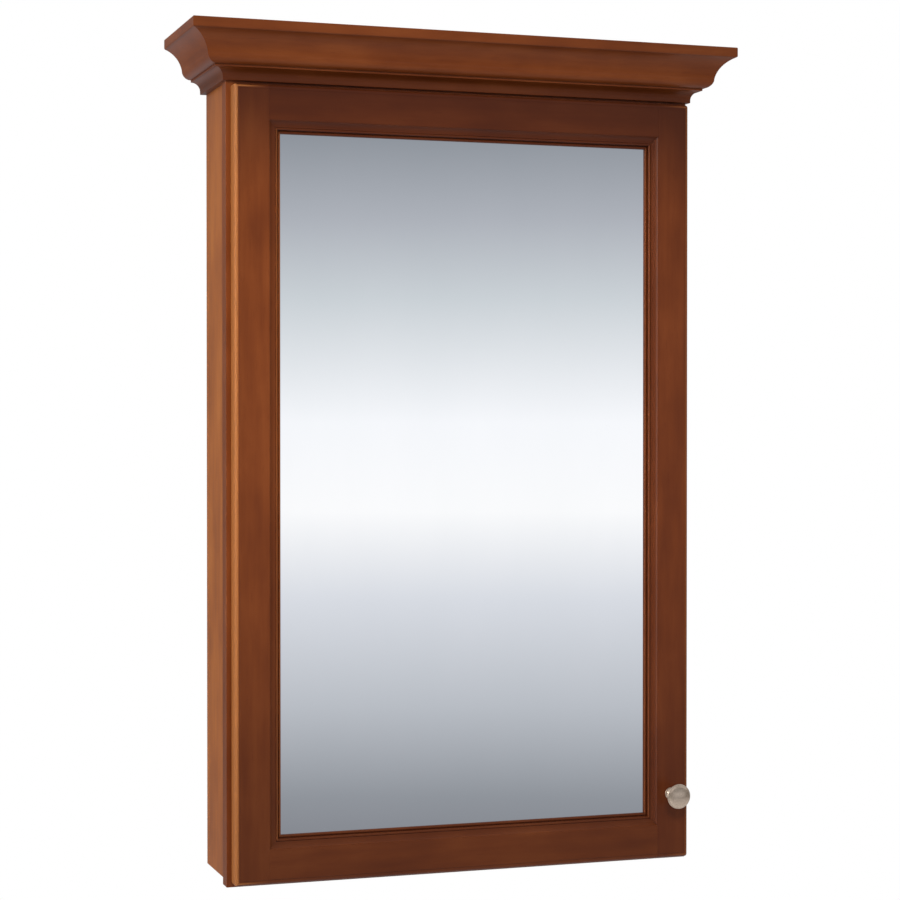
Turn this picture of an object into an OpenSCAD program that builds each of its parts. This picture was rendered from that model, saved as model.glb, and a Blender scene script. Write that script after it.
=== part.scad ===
// Surface-mounted medicine cabinet with a framed mirror door and a crown moulding.
// Millimetres. Origin at the centre of the wall plane: +Z up, +X to the right of a
// person who faces the mirror, the front faces -Y, and y = 0 is the wall.

/* [Cabinet] */
// Width over the face frame
frame_w = 550; // [450:1:680]
// Height of the box, from the face frame's bottom edge to its top edge
box_h = 920; // [700:0.1:1110]
// Depth from the wall to the front of the face frame
depth = 114; // [95:1:160]
// Thickness of the side, top and bottom panels
panel_t = 16; // [12:0.5:19.5]
// Thickness of the face frame
frame_t = 19; // [15:0.5:23]
// Width of the face frame's stiles and bottom rail
frame_bar = 38; // [36:0.5:46]
// Height of the face frame's top rail, part of it behind the crown
top_bar = 74; // [62:1:90]
// How far the face frame stands out past each side panel
frame_lip = 3; // [1:0.5:4]
// Thickness of the back panel
back_t = 5; // [4:0.5:6.5]
// Thickness of the hanging rails
rail_t = 16; // [12:0.5:20]
// Height of the hanging rails
rail_h = 64; // [50:1:77]
// Spacing of the wall screws, 16 in to suit studs
screw_gap = 406.4; // [338:0.1:488]
// Diameter of the wall screw holes
wall_hole_d = 5.5; // [4.5:0.1:6.6]

/* [Crown] */
// Height of the crown's upright top band
fascia_h = 10.5; // [7:0.1:12.6]
// How far the crown's foot stands above the top of the door
crown_gap = 4.7; // [3.5:0.1:6]
// How far the crown's top edge stands out past the face frame's sides
crown_side = 45.5; // [44:0.1:52]

/* [Door] */
// Face frame left showing at the sides of the door
reveal = 5; // [4:0.5:7]
// Face frame left showing below the door
foot_reveal = 4.2; // [3.5:0.1:6]
// Air gap between the closed door and the face frame
door_gap = 2; // [1.8:0.1:2.4]
// Thickness of the door
door_t = 19; // [18:0.5:23]
// How far the door's stiles and rails reach past the edge of the frame's opening
bar_past = 20; // [16:0.5:24]
// Thickness of the mirror glass
glass_t = 4; // [3:0.5:5]

/* [Hinges] */
// Diameter of the hinge cups
cup_d = 35; // [33:0.5:36]
// Distance of the hinge centres from the door's ends
hinge_inset = 110; // [80:1:140]

/* [Knob] */
// Diameter of the knob's cap
knob_d = 28.6; // [25:0.1:36]
// Diameter of the knob's foot
knob_foot_d = 14; // [12:0.5:18]
// Diameter of the knob's neck
knob_neck_d = 9; // [7.5:0.5:11]
// How far the knob stands out of the door
knob_out = 27.5; // [20:0.5:36]
// Distance of the knob from the door's right edge
knob_in = 22.5; // [19:0.5:26]
// Distance of the knob from the door's bottom edge
knob_up = 75.3; // [60:0.1:91]

/* [Shelves] */
// Thickness of the shelves
shelf_t = 16; // [12:0.5:19]
// Height of the lower shelf's underside above the cabinet floor
lower_shelf_up = 262.5; // [150:0.5:320]
// Height of the upper shelf's underside above the cabinet floor
upper_shelf_up = 541; // [350:0.5:570]
// Diameter of the shelf pin holes
pin_hole_d = 5; // [4:0.5:6.5]
// Spacing of the shelf pin holes, one above another
pin_step = 32; // [20:1:38]
// Number of pin holes in each column at each shelf
pin_rows = 5; // [3:2:7]

/* [Hidden] */
$fn = 48;
eps = 0.01;
// crown: insets from its outer edge, and drops below its top band
crown_ovolo = 10.4;                  // radius of the round under the large cove
crown_shoulder = 30.6;               // inset of the round's lower end
crown_knee = 23.9;                   // drop at which the round starts
crown_step = 36.9;                   // drop at which the small cove starts
crown_foot_in = 41.3;                // inset of the foot
crown_body = 50.2;                   // drop of the foot
crown_nose = 14;                     // inset of the sloping back on top
crown_h = fascia_h + crown_body;
crown_in = 46;                       // from the crown's front to the face frame
door_w = frame_w - 2*reveal;
door_z0 = foot_reveal;
crown_z0 = box_h - 34.5;             // foot of the crown
crown_z1 = crown_z0 + crown_h;       // top of the crown
door_z1 = crown_z0 - crown_gap;
door_h = door_z1 - door_z0;
total_h = crown_z1;
zc = total_h/2;                      // everything is lowered by this
side_x = frame_w/2 - frame_lip;      // outer face of a side panel
in_x = side_x - panel_t;             // inner face of a side panel
carc_y = depth - frame_t;            // front of the carcass
fr_y = -depth;                       // front of the face frame
db_y = -(depth + door_gap);          // back of the door
df_y = db_y - door_t;                // front of the door
open_x = frame_w/2 - frame_bar;      // half width of the face frame's opening
floor_z = frame_bar;                 // top of the bottom panel
side_z0 = 5;
top_z0 = box_h - top_bar + 12;       // underside of the top panel
crown_x = frame_w/2 + crown_side;         // half width of the crown
crown_y = depth + crown_in;          // front of the crown
scr_r = wall_hole_d/2;
up_rail_z = top_z0 - rail_h;
lo_rail_z = floor_z;
// door
door_bar = frame_bar - reveal + bar_past; // door's stiles and rails, moulding included
stick = 14.4;                        // width of the moulding around the mirror
flat = door_bar - stick;
rab = 8;                             // width of the rabbet behind it
back_b = 3;                          // backing board
strip_t = 2.5;                       // stop strips behind the backing board
lip_d = door_t - glass_t - back_b - strip_t; // moulding's thickness at the mirror
corner = 3;                          // radius of the door's corners
clip_t = 1;                          // retaining plates
clip_screw_r = 1.3;
clip_pilot = clip_screw_r + 0.05;
// knob
bolt_r = 1.95;
bolt_hole = bolt_r + 0.3;            // through the door
bolt_grip = bolt_r + 0.05;           // in the knob
bolt_sink = 4;                       // depth of the counterbore at the door's back
bolt_in = 10;                        // how far the bolt reaches into the knob
// hinge: p is the pivot on the arm, q the pivot in the cup, both from the door's
// left edge and the face frame's front
px = frame_bar - reveal; 
py = -(door_gap + 4);
link_reach = 21;                     // between a link's two pivots
qx = px - link_reach;
qy = py;
pivot_r = 1.5;
pivot_hole = pivot_r + 0.05;
hinge_screw_r = 1.5;
hinge_pilot = hinge_screw_r + 0.05;
arm_plate = 2;                       // thickness of the plate on the opening's edge
arm_step = 12;                       // its screws, above and below the hinge's centre
cup_plate = 1.2;                     // thickness of the cup's flange
cup_step = 22.5;                     // its screws, above and below the hinge's centre
cup_ear = 9.5;                       // from the cup's centre to its screws
cup_wall = 1.2;
cup_x = px + 5.8 + cup_wall - cup_d/2; // centre of the cup from the door's edge
cup_deep = 12.5;
dx0 = -door_w/2;                     // door's left edge
hz1 = door_z0 + hinge_inset;
hz2 = door_z1 - hinge_inset;
// shelves
shelf_clear = 1;                     // from a shelf's end to the side panel
sh1 = floor_z + lower_shelf_up;
sh2 = floor_z + upper_shelf_up;
pin_r = pin_hole_d/2 - 0.05;
pin_c = pin_hole_d/2;                // a pin's centre below the shelf
pin_yf = -(carc_y - 20);
pin_yb = -(back_t + rail_t + 9);

wood_c = [0.45, 0.23, 0.12];
inner_c = [0.78, 0.62, 0.42];
steel_c = [0.72, 0.72, 0.74];
nickel_c = [0.66, 0.62, 0.57];

module at() { translate([0, 0, -zc]) children(); }
// box from two corners
module bx(a, b) { translate(a) cube([b[0]-a[0], b[1]-a[1], b[2]-a[2]]); }
// cylinder along X or Y from a point
module cx(p, r, l) { translate(p) rotate([0, 90, 0]) cylinder(r = r, h = l); }
module cy(p, r, l) { translate(p) rotate([-90, 0, 0]) cylinder(r = r, h = l); }

// ---------- carcass ----------
module pin_holes() {
  for (s = [sh1, sh2]) for (k = [-(pin_rows-1)/2 : (pin_rows-1)/2]) for (y = [pin_yf, pin_yb])
    cx([-in_x - 10, y, s + k*pin_step - pin_c], pin_hole_d/2, 11);
}
module side_panel() {
  difference() {
    bx([-side_x, -carc_y, side_z0], [-in_x, 0, box_h]);
    bx([-in_x - panel_t/2, -back_t, side_z0 + 14], [-in_x + 1, 1, top_z0 + panel_t]);
    pin_holes();
  }
}
module left_side_panel() { color(wood_c) at() side_panel(); }
module right_side_panel() { color(wood_c) at() mirror([1, 0, 0]) side_panel(); }
module top_panel() { color(inner_c) at() bx([-in_x, -carc_y, top_z0], [in_x, -back_t, top_z0 + panel_t]); }
module bottom_panel() { color(inner_c) at() bx([-in_x, -carc_y, floor_z - panel_t], [in_x, -back_t, floor_z]); }
module wall_holes() {
  for (s = [-1, 1]) for (z = [up_rail_z + rail_h/2, lo_rail_z + rail_h/2])
    cy([s*screw_gap/2, -back_t - rail_t - 1, z], scr_r, back_t + rail_t + 2);
}
module back_panel() {
  color(inner_c) at() difference() {
    bx([-in_x - panel_t/2, -back_t, side_z0 + 14], [in_x + panel_t/2, 0, top_z0 + panel_t]);
    wall_holes();
  }
}
module hang_rail(z) {
  difference() {
    bx([-in_x, -back_t - rail_t, z], [in_x, -back_t, z + rail_h]);
    wall_holes();
  }
}
module upper_hanging_rail() { color(inner_c) at() hang_rail(up_rail_z); }
module lower_hanging_rail() { color(inner_c) at() hang_rail(lo_rail_z); }

// ---------- face frame ----------
module frame_stile() { bx([-frame_w/2, fr_y, 0], [-open_x, -carc_y, box_h]); }
module face_frame_left_stile() {
  color(wood_c) at() difference() {
    frame_stile();
    for (z = [hz1, hz2]) arm_screw_spots(z) cx([-open_x - 18, 0, 0], hinge_pilot, 19);
  }
}
module face_frame_right_stile() { color(wood_c) at() mirror([1, 0, 0]) frame_stile(); }
module face_frame_top_rail() { color(wood_c) at() bx([-open_x, fr_y, box_h - top_bar], [open_x, -carc_y, box_h]); }
module face_frame_bottom_rail() { color(wood_c) at() bx([-open_x, fr_y, 0], [open_x, -carc_y, frame_bar]); }

// ---------- crown ----------
// x is the inset from the crown's outer edge, y is minus the drop from its top
module crown_section(b) {
  f = fascia_h;
  difference() {
    union() {
      polygon([[0, 0], [0, -f], [1, -f - 0.9], [crown_shoulder - crown_ovolo, -f - crown_knee],
               [crown_shoulder, -f - crown_knee], [crown_shoulder, -f - crown_step],
               [crown_foot_in, -f - crown_step], [crown_foot_in, -f - crown_body],
               [b, -f - crown_body], [b, -f - 24], [crown_nose, 0]]);
      intersection() {
        translate([crown_shoulder, -f - crown_knee]) circle(r = crown_ovolo);
        translate([crown_shoulder - 12.6, -f - crown_knee - 12.1]) square([12.7, 12.2]);
      }
    }
    intersection() {
      translate([-10, -f - 29.5]) circle(r = 30.7);
      translate([-1, -f - crown_knee]) square([23, 23.1]);
    }
    intersection() {
      translate([31.2, -f - 46.9]) circle(r = 10.1);
      translate([30, -f - 51]) square([12, 14.3]);
    }
    translate([30, -f - 51]) square([11.3, 4.1]);
  }
}
module crown_front() {
  color(wood_c) at() intersection() {
    translate([-crown_x, -crown_y, crown_z1]) rotate([90, 0, 90]) linear_extrude(height = 2*crown_x)
      crown_section(crown_in);
    translate([0, 0, crown_z0 - 1]) linear_extrude(height = crown_h + 2)
      polygon([[-crown_x, -crown_y], [crown_x, -crown_y], [crown_x - 60, -crown_y + 60],
               [-crown_x + 60, -crown_y + 60]]);
  }
}
module crown_return() {
  difference() {
    intersection() {
      translate([-crown_x, 0, crown_z1]) rotate([90, 0, 0]) linear_extrude(height = crown_y)
        crown_section(crown_x - side_x);
      translate([0, 0, crown_z0 - 1]) linear_extrude(height = crown_h + 2)
        polygon([[-crown_x, -crown_y], [-crown_x + 60, -crown_y + 60], [-crown_x + 60, 0],
                 [-crown_x, 0]]);
    }
    bx([-frame_w/2, fr_y, 0], [0, -carc_y, box_h]);
    bx([-frame_w/2 + 0.5, -crown_y, 0], [0, fr_y, total_h + 1]);
  }
}
module crown_left_return() { color(wood_c) at() crown_return(); }
module crown_right_return() { color(wood_c) at() mirror([1, 0, 0]) crown_return(); }
// three-cornered blocks on the face frame's top edge, behind the front crown
module crown_glue_blocks() {
  h = crown_z1 - box_h;
  glue = 0.03;
  k = (crown_in - crown_nose)/(fascia_h + 24);
  color(inner_c) at() for (x = [-open_x + 40, 0, open_x - 40])
    translate([x - 35, -crown_y, box_h]) rotate([90, 0, 90]) linear_extrude(height = 70)
      polygon([[crown_in, 0], [crown_in + frame_t - 1, 0], [crown_nose + glue + k*3 + 10, h - 3],
               [crown_nose + glue + k*3, h - 3], [crown_nose + glue + k*h, 0]]);
}

// ---------- door ----------
// plan section of a stile: x from the door's outer edge inwards, y from the front face back
module stick_section() {
  difference() {
    union() {
      difference() {
        polygon([[0, 0], [flat, 0], [flat, 0.4], [flat + 7.6, 0.4], [flat + 7.6, 5.6],
                 [flat + 10.5, 5.6], [flat + 10.5, 8.4], [door_bar, 8.4], [door_bar, lip_d],
                 [door_bar - rab, lip_d], [door_bar - rab, door_t], [0, door_t]]);
        intersection() {
          translate([flat + 7.7, -4.2]) circle(r = 8.46);
          translate([flat, -1]) square([8.5, 6]);
        }
      }
      translate([flat + 9, 5.6]) circle(r = 1.5);
      translate([flat + 12.8, 8.4]) circle(r = 1.5);
    }
    translate([door_bar, 0]) square([4, door_t + 1]);
    translate([door_bar - rab, lip_d]) square([rab + 1, door_t]);
  }
}
// outer edge: a quarter round below a small step, on both ends of a length w
module edge_section(w) {
  difference() {
    square([w, door_t]);
    for (m = [0, 1]) translate([m*w, 0]) mirror([m, 0]) {
      translate([-1, -1]) square([6.6, 1.5]);
      difference() {
        translate([-1, 0]) square([5.5, 5]);
        translate([4.5, 5]) circle(r = 4.5);
      }
    }
  }
}
module door_blank() {
  intersection() {
    translate([dx0, df_y, door_z0 - 1]) linear_extrude(height = door_h + 2) edge_section(door_w);
    // x of the section runs up, y runs back, and the length runs along X
    translate([dx0 - 1, df_y, door_z0]) multm() linear_extrude(height = door_w + 2)
      edge_section(door_h);
    union() {
      bx([dx0 + corner, df_y - 1, door_z0], [-dx0 - corner, db_y + 1, door_z1]);
      bx([dx0, df_y - 1, door_z0 + corner], [-dx0, db_y + 1, door_z1 - corner]);
      for (x = [dx0 + corner, -dx0 - corner]) for (z = [door_z0 + corner, door_z1 - corner])
        cy([x, df_y - 1, z], corner, door_t + 2);
    }
  }
}
// turns a flat section (u, v) extruded by w into x = w, y = v, z = u
module multm() { mirror([1, 0, 0]) rotate([0, -90, 0]) children(); }
module stile_bar() {
  translate([dx0, df_y, door_z0 - 1]) linear_extrude(height = door_h + 2) stick_section();
}
module rail_bar() {
  intersection() {
    translate([dx0 + flat, df_y, door_z0]) multm() linear_extrude(height = door_w - 2*flat)
      stick_section();
    door_blank();
  }
}
// the moulding is mitred: a wedge inside both flats, left end of the bottom rail
module mitre_wedge(k) {
  p = k == 0 ? [[flat, flat], [flat, door_bar + 5], [door_bar + 5, door_bar + 5]]
             : [[flat, flat], [door_bar + 5, flat], [door_bar + 5, door_bar + 5]];
  translate([dx0, df_y - 1, door_z0]) rotate([90, 0, 0]) mirror([0, 0, 1])
    linear_extrude(height = door_t + 2) polygon(p);
}
module rail_cut() { mitre_wedge(0); mirror([1, 0, 0]) mitre_wedge(0); }
module stile_cut() {
  mitre_wedge(1);
  bx([dx0 + flat, df_y - 1, door_z0 - 2], [dx0 + door_bar + 1, db_y + 1, door_z0 + flat]);
}
module stile_cuts() {
  stile_cut();
  translate([0, 0, door_z0 + door_z1]) mirror([0, 0, 1]) stile_cut();
}
module cup_hole(z) { cy([dx0 + cup_x, db_y - cup_deep, z], cup_d/2, cup_deep + 1); }
module cup_screw_spots(z) { for (s = [-1, 1]) translate([dx0 + cup_x + cup_ear, 0, z + s*cup_step]) children(); }
module door_left_stile() {
  color(wood_c) at() difference() {
    intersection() { door_blank(); stile_bar(); }
    stile_cuts();
    for (z = [hz1, hz2]) {
      cup_hole(z);
      cup_screw_spots(z) cy([0, db_y - 9, 0], hinge_pilot, 10);
    }
    clip_spots(-1) cy([0, db_y - 8, 0], clip_pilot, 9);
  }
}
module door_right_stile() {
  color(wood_c) at() difference() {
    intersection() { door_blank(); mirror([1, 0, 0]) stile_bar(); }
    mirror([1, 0, 0]) stile_cuts();
    cy([door_w/2 - knob_in, df_y - 1, door_z0 + knob_up], bolt_hole, door_t + 2);
    cy([door_w/2 - knob_in, db_y - bolt_sink, door_z0 + knob_up], 5, bolt_sink + 1);
    clip_spots(1) cy([0, db_y - 8, 0], clip_pilot, 9);
  }
}
module door_bottom_rail() { color(wood_c) at() difference() { rail_bar(); rail_cut(); } }
module door_top_rail() {
  color(wood_c) at() translate([0, 0, door_z0 + door_z1]) mirror([0, 0, 1]) difference() {
    rail_bar();
    rail_cut();
  }
}
mx = door_w/2 - door_bar + rab - 0.5;      // half width of the glass
mz0 = door_z0 + door_bar - rab + 0.5;
mz1 = door_z1 - door_bar + rab - 0.5;
module mirror_glass() { color([0.8, 0.84, 0.86]) at() bx([-mx, df_y + lip_d, mz0], [mx, df_y + lip_d + glass_t, mz1]); }
module mirror_backing() {
  color([0.35, 0.25, 0.18]) at() bx([-mx, df_y + lip_d + glass_t, mz0],
    [mx, df_y + lip_d + glass_t + back_b, mz1]);
}
// stop strips in the rabbet and the small plates that hold them
st_y = df_y + lip_d + glass_t + back_b;
module clip_spots(s) {
  for (k = [0 : 3]) translate([s*(mx + 5.5), 0, door_z0 + 100 + k*(door_h - 200)/3 + (k == 0 ? 50 : k == 3 ? -50 : 0)]) children();
}
module mirror_stop_strips() {
  color([0.3, 0.17, 0.1]) at() difference() {
    bx([-mx, st_y, mz0], [mx, db_y, mz1]);
    bx([-mx + 10, st_y - 1, mz0 + 10], [mx - 10, db_y + 1, mz1 - 10]);
  }
}
module retainer_clips() {
  color(steel_c) at() for (s = [-1, 1]) clip_spots(s) difference() {
    translate([s > 0 ? -9.5 : -4.5, db_y, -9]) cube([14, clip_t, 18]);
    cy([0, db_y - 1, 0], 1.5, 3);
  }
}
module retainer_screws() {
  color(steel_c) at() for (s = [-1, 1]) clip_spots(s) {
    cy([0, db_y - 7, 0], clip_screw_r, 7 + clip_t);
    cy([0, db_y + clip_t, 0], 2.8, 1.2);
  }
}

// ---------- hinges ----------
module local(z) { translate([dx0, fr_y, z]) children(); }
module slab(z0, z1) { translate([0, 0, z0]) linear_extrude(height = z1 - z0) children(); }
module bar2(a, b, w) {
  d = [b[0]-a[0], b[1]-a[1]];
  translate(a) rotate(atan2(d[1], d[0])) translate([0, -w/2]) square([sqrt(d[0]*d[0]+d[1]*d[1]), w]);
}
module arm_screw_spots(z) { for (s = [-1, 1]) translate([0, fr_y + frame_t/2, z + s*arm_step]) children(); }
// plate on the opening's edge with an ear that reaches into the cup
module hinge_arm(z) {
  local(z) difference() {
    union() {
      translate([px, 1.5, -18]) cube([arm_plate, frame_t - 3, 36]);
      slab(-4, 4) difference() {
        union() {
          translate([px, py]) circle(r = 3);
          translate([px + 0.4, py]) square([3.3, frame_t - 4 - py]);
        }
        translate([px, py]) circle(r = pivot_hole);
      }
    }
    for (s = [-1, 1]) cx([px - 1, frame_t/2, s*arm_step], hinge_screw_r + 0.2, arm_plate + 2);
  }
}
module upper_hinge_arm() { color(steel_c) at() hinge_arm(hz2); }
module lower_hinge_arm() { color(steel_c) at() hinge_arm(hz1); }
module hinge_arm_screws() {
  color(steel_c) at() for (z = [hz1, hz2]) arm_screw_spots(z) {
    cx([-open_x - 16, 0, 0], hinge_screw_r, 16.05 + arm_plate);
    cx([-open_x + arm_plate + 0.05, 0, 0], 3.4, 1.8);
  }
}
// two cranked side plates and the web that joins them
module link_shape() {
  a = [qx + 3.5, qy - 5];
  b = [px - 3.5, py - 5];
  translate([qx, qy]) circle(r = 2.8);
  translate([px, py]) circle(r = 2.8);
  translate(a) circle(r = 1.85);
  translate(b) circle(r = 1.85);
  bar2([qx, qy], a, 3.4);
  bar2(a, b, 3.4);
  bar2(b, [px, py], 3.4);
}
module hinge_link(z) {
  local(z) {
    difference() {
      union() {
        for (s = [-6.2, 4.3]) slab(s, s + 1.9) link_shape();
        slab(-4.4, 4.4) translate([qx + 8.5, qy - 6.6]) square([4, 3.2]);
      }
      for (p = [[px, py], [qx, qy]]) translate([p[0], p[1], -7]) cylinder(r = pivot_hole, h = 14);
    }
  }
}
module upper_hinge_link() { color(steel_c) at() hinge_link(hz2); }
module lower_hinge_link() { color(steel_c) at() hinge_link(hz1); }
module pivot(z, x, y) {
  local(z) {
    translate([x, y, -6.6]) cylinder(r = pivot_r, h = 13.2);
    for (s = [-7.4, 6.6]) translate([x, y, s]) cylinder(r = 2.3, h = 0.8);
  }
}
module hinge_arm_pins() { color(nickel_c) at() for (z = [hz1, hz2]) pivot(z, px, py); }
module hinge_cup_pins() { color(nickel_c) at() for (z = [hz1, hz2]) pivot(z, qx, qy); }
module hinge_cup(z) {
  yb = -door_gap;                    // back of the door, from the face frame
  local(z) difference() {
    union() {
      translate([cup_x, yb - cup_deep, 0]) rotate([-90, 0, 0]) cylinder(r = cup_d/2 - 0.05, h = cup_deep);
      translate([cup_x, yb, 0]) rotate([-90, 0, 0]) cylinder(r = cup_d/2 + 1, h = cup_plate);
      translate([cup_x + 2, yb, -cup_step - 4.5]) cube([15, cup_plate, 2*cup_step + 9]);
    }
    difference() {
      translate([cup_x, yb - cup_deep + 1, 0]) rotate([-90, 0, 0]) cylinder(r = cup_d/2 - cup_wall, h = cup_deep + 3);
      slab(-4, 4) translate([cup_x - cup_d/2, yb - cup_deep]) square([qx + 2.6 - cup_x + cup_d/2, cup_deep - 1]);
    }
    translate([qx, qy, -5]) cylinder(r = pivot_hole, h = 10);
    for (s = [-1, 1]) translate([cup_x + cup_ear, yb - 1, s*cup_step]) rotate([-90, 0, 0]) cylinder(r = 3.3, h = 3);
  }
}
module upper_hinge_cup() { color(steel_c) at() hinge_cup(hz2); }
module lower_hinge_cup() { color(steel_c) at() hinge_cup(hz1); }
module hinge_cup_screws() {
  color(steel_c) at() for (z = [hz1, hz2]) cup_screw_spots(z) {
    cy([0, db_y - 8, 0], hinge_screw_r, 8.05);
    cy([0, db_y, 0], 3.2, 1.1);
  }
}

// ---------- knob ----------
// foot, hollow-sided neck that flares under the cap, and a shallow domed cap with a rim
module knob_body() {
  r = knob_d/2;
  f = knob_foot_d/2;
  n = knob_neck_d/2;
  under = knob_out - 6.4;
  low = f - n;                       // radius of the hollow above the foot
  high = min(5.5, r - 4 - n);        // radius of the flare under the cap
  difference() {
    union() {
      rotate_extrude() polygon(concat([[0, 0], [f, 0], [f, 1.4]],
        [for (a = [75 : -15 : 0]) [f - low*cos(a), 1.4 + low - low*sin(a)]],
        [for (a = [0 : 15 : 75]) [n + high - high*cos(a), under - high + high*sin(a)]],
        [[n + high, under + 0.4], [0, under + 0.4]]));
      intersection() {
        translate([0, 0, knob_out - 40]) sphere(r = 40, $fn = 96);
        translate([0, 0, knob_out - 5.6]) cylinder(r = r - 0.9, h = 6);
      }
      translate([0, 0, knob_out - 6.6]) cylinder(r1 = r - 3.5, r2 = r - 0.4, h = 1.6);
      translate([0, 0, knob_out - 5]) cylinder(r = r, h = 1.7);
    }
    translate([0, 0, -1]) cylinder(r = bolt_grip, h = bolt_in + 3);
  }
}
module knob() {
  color(nickel_c) at() translate([door_w/2 - knob_in, df_y, door_z0 + knob_up]) rotate([90, 0, 0]) knob_body();
}
module knob_screw() {
  color(steel_c) at() {
    cy([door_w/2 - knob_in, df_y - bolt_in, door_z0 + knob_up], bolt_r, door_t + bolt_in - bolt_sink + 0.01);
    cy([door_w/2 - knob_in, db_y - bolt_sink, door_z0 + knob_up], 4.2, 2.6);
  }
}
module door_bumpers() {
  color([0.85, 0.85, 0.85]) at() for (z = [door_z0 + 18, door_z1 - 18])
    cy([door_w/2 - 14, db_y, z], 4, door_gap - 0.1);
}

// ---------- shelves ----------
module shelf(s) {
  bx([-in_x + shelf_clear, -carc_y + 3, s], [in_x - shelf_clear, -back_t - rail_t - 1, s + shelf_t]);
}
module upper_shelf() { color(inner_c) at() shelf(sh2); }
module lower_shelf() { color(inner_c) at() shelf(sh1); }
module shelf_pins() {
  color(nickel_c) at() for (m = [0, 1]) mirror([m, 0, 0]) for (s = [sh1, sh2]) for (y = [pin_yf, pin_yb]) {
    cx([-in_x - 9.5, y, s - pin_c], pin_r, 9.5);
    cx([-in_x, y, s - pin_c], pin_hole_d/2 + 1.1, shelf_clear);
    difference() {
      cx([-in_x + shelf_clear, y, s - pin_c], pin_hole_d/2, 8);
      bx([-in_x + 0.5, y - 4, s - 0.02], [-in_x + 10, y + 4, s + 4]);
    }
  }
}

left_side_panel();
right_side_panel();
top_panel();
bottom_panel();
back_panel();
upper_hanging_rail();
lower_hanging_rail();
face_frame_left_stile();
face_frame_right_stile();
face_frame_top_rail();
face_frame_bottom_rail();
crown_front();
crown_left_return();
crown_right_return();
crown_glue_blocks();
shelf_pins();
upper_hinge_arm();
lower_hinge_arm();
hinge_arm_screws();
hinge_arm_pins();
upper_hinge_link();
lower_hinge_link();
hinge_cup_pins();
door_left_stile();
door_right_stile();
door_top_rail();
door_bottom_rail();
mirror_glass();
mirror_backing();
mirror_stop_strips();
retainer_clips();
retainer_screws();
upper_hinge_cup();
lower_hinge_cup();
hinge_cup_screws();
knob();
knob_screw();
door_bumpers();
upper_shelf();
lower_shelf();
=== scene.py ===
"""Looks of a surface-mounted medicine cabinet with a framed mirror door.

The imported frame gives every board, hinge part and joint its place. This script
dresses the carcass, runs the crown and the door frame as eased mouldings, turns the
knob, lays screws, clips and shelf pins by node trees, and sets up the studio.
Lengths are in metres; the front faces -Y and the wall plane is y = 0.
"""

from __future__ import annotations

import logging
import math
from collections.abc import Callable, Sequence
from dataclasses import dataclass, field
from enum import Enum
from typing import Any

import bmesh
import bpy
from mathutils import Matrix, Vector

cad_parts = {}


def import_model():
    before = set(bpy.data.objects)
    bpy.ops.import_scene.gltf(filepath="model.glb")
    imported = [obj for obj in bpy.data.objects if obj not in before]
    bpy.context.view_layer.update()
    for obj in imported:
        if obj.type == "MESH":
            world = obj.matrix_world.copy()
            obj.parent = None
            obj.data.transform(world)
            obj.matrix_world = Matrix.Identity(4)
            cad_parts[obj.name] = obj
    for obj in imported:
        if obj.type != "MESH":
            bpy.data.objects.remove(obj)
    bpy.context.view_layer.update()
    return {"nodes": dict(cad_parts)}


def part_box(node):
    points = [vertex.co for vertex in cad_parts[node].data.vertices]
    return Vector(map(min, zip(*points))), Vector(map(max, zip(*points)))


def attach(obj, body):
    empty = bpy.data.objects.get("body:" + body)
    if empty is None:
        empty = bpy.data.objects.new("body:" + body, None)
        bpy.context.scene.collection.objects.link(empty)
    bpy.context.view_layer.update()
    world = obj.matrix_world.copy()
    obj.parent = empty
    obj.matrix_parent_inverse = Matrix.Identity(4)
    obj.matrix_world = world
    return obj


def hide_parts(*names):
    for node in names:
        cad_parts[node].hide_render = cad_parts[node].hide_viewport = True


log = logging.getLogger("medicine_cabinet")

MM = 0.001
Colour = tuple[float, float, float, float]
Point2 = tuple[float, float]


def tint(red: float, green: float, blue: float) -> Colour:
    """Turn a display colour of 0 to 255 into a linear one."""

    def linear(level: float) -> float:
        """Undo the display curve for one channel."""
        level /= 255.0
        return level / 12.92 if level <= 0.04045 else ((level + 0.055) / 1.055) ** 2.4

    return linear(red), linear(green), linear(blue), 1.0


class Grain(Enum):
    """Which way the wood's fibres run; the value stretches a pattern that way."""

    UPRIGHT = (1.0, 1.0, 0.07)
    ACROSS = (0.07, 1.0, 1.0)
    FRONT_TO_BACK = (1.0, 0.07, 1.0)


class Body(Enum):
    """The rigid bodies of the cabinet."""

    CABINET = "cabinet"
    LINKS = "hinge_links"
    DOOR = "door"
    UPPER_SHELF = "upper_shelf_board"
    LOWER_SHELF = "lower_shelf_board"


class Slot(Enum):
    """Names of the finishes that may be changed."""

    STAINED = "stained_wood"
    INNER = "inner_wood"
    MIRROR = "mirror"
    BACKING = "backing_board"
    STRIP = "retainer_strip"
    STEEL = "steel"
    NICKEL = "satin_nickel"
    BUMPER = "bumper"


# ---------------------------------------------------------------- node trees
class Value:
    """One output socket of a tree, on which arithmetic adds Math nodes."""

    def __init__(self, graph: Graph, socket: bpy.types.NodeSocket) -> None:
        """Wrap a socket of a graph."""
        self.graph, self.socket = graph, socket

    def _math(self, operation: str, *values: Any) -> Value:
        """Add a Math node for the operation on these values."""
        node = self.graph.add("ShaderNodeMath", {"operation": operation}, dict(enumerate(values)))
        return Value(self.graph, node.outputs[0])

    def __add__(self, other: Any) -> Value:
        """Add."""
        return self._math("ADD", self, other)

    __radd__ = __add__

    def __mul__(self, other: Any) -> Value:
        """Multiply."""
        return self._math("MULTIPLY", self, other)

    __rmul__ = __mul__

    def __sub__(self, other: Any) -> Value:
        """Subtract other from this."""
        return self._math("SUBTRACT", self, other)

    def __rsub__(self, other: Any) -> Value:
        """Subtract this from other."""
        return self._math("SUBTRACT", other, self)


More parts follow.
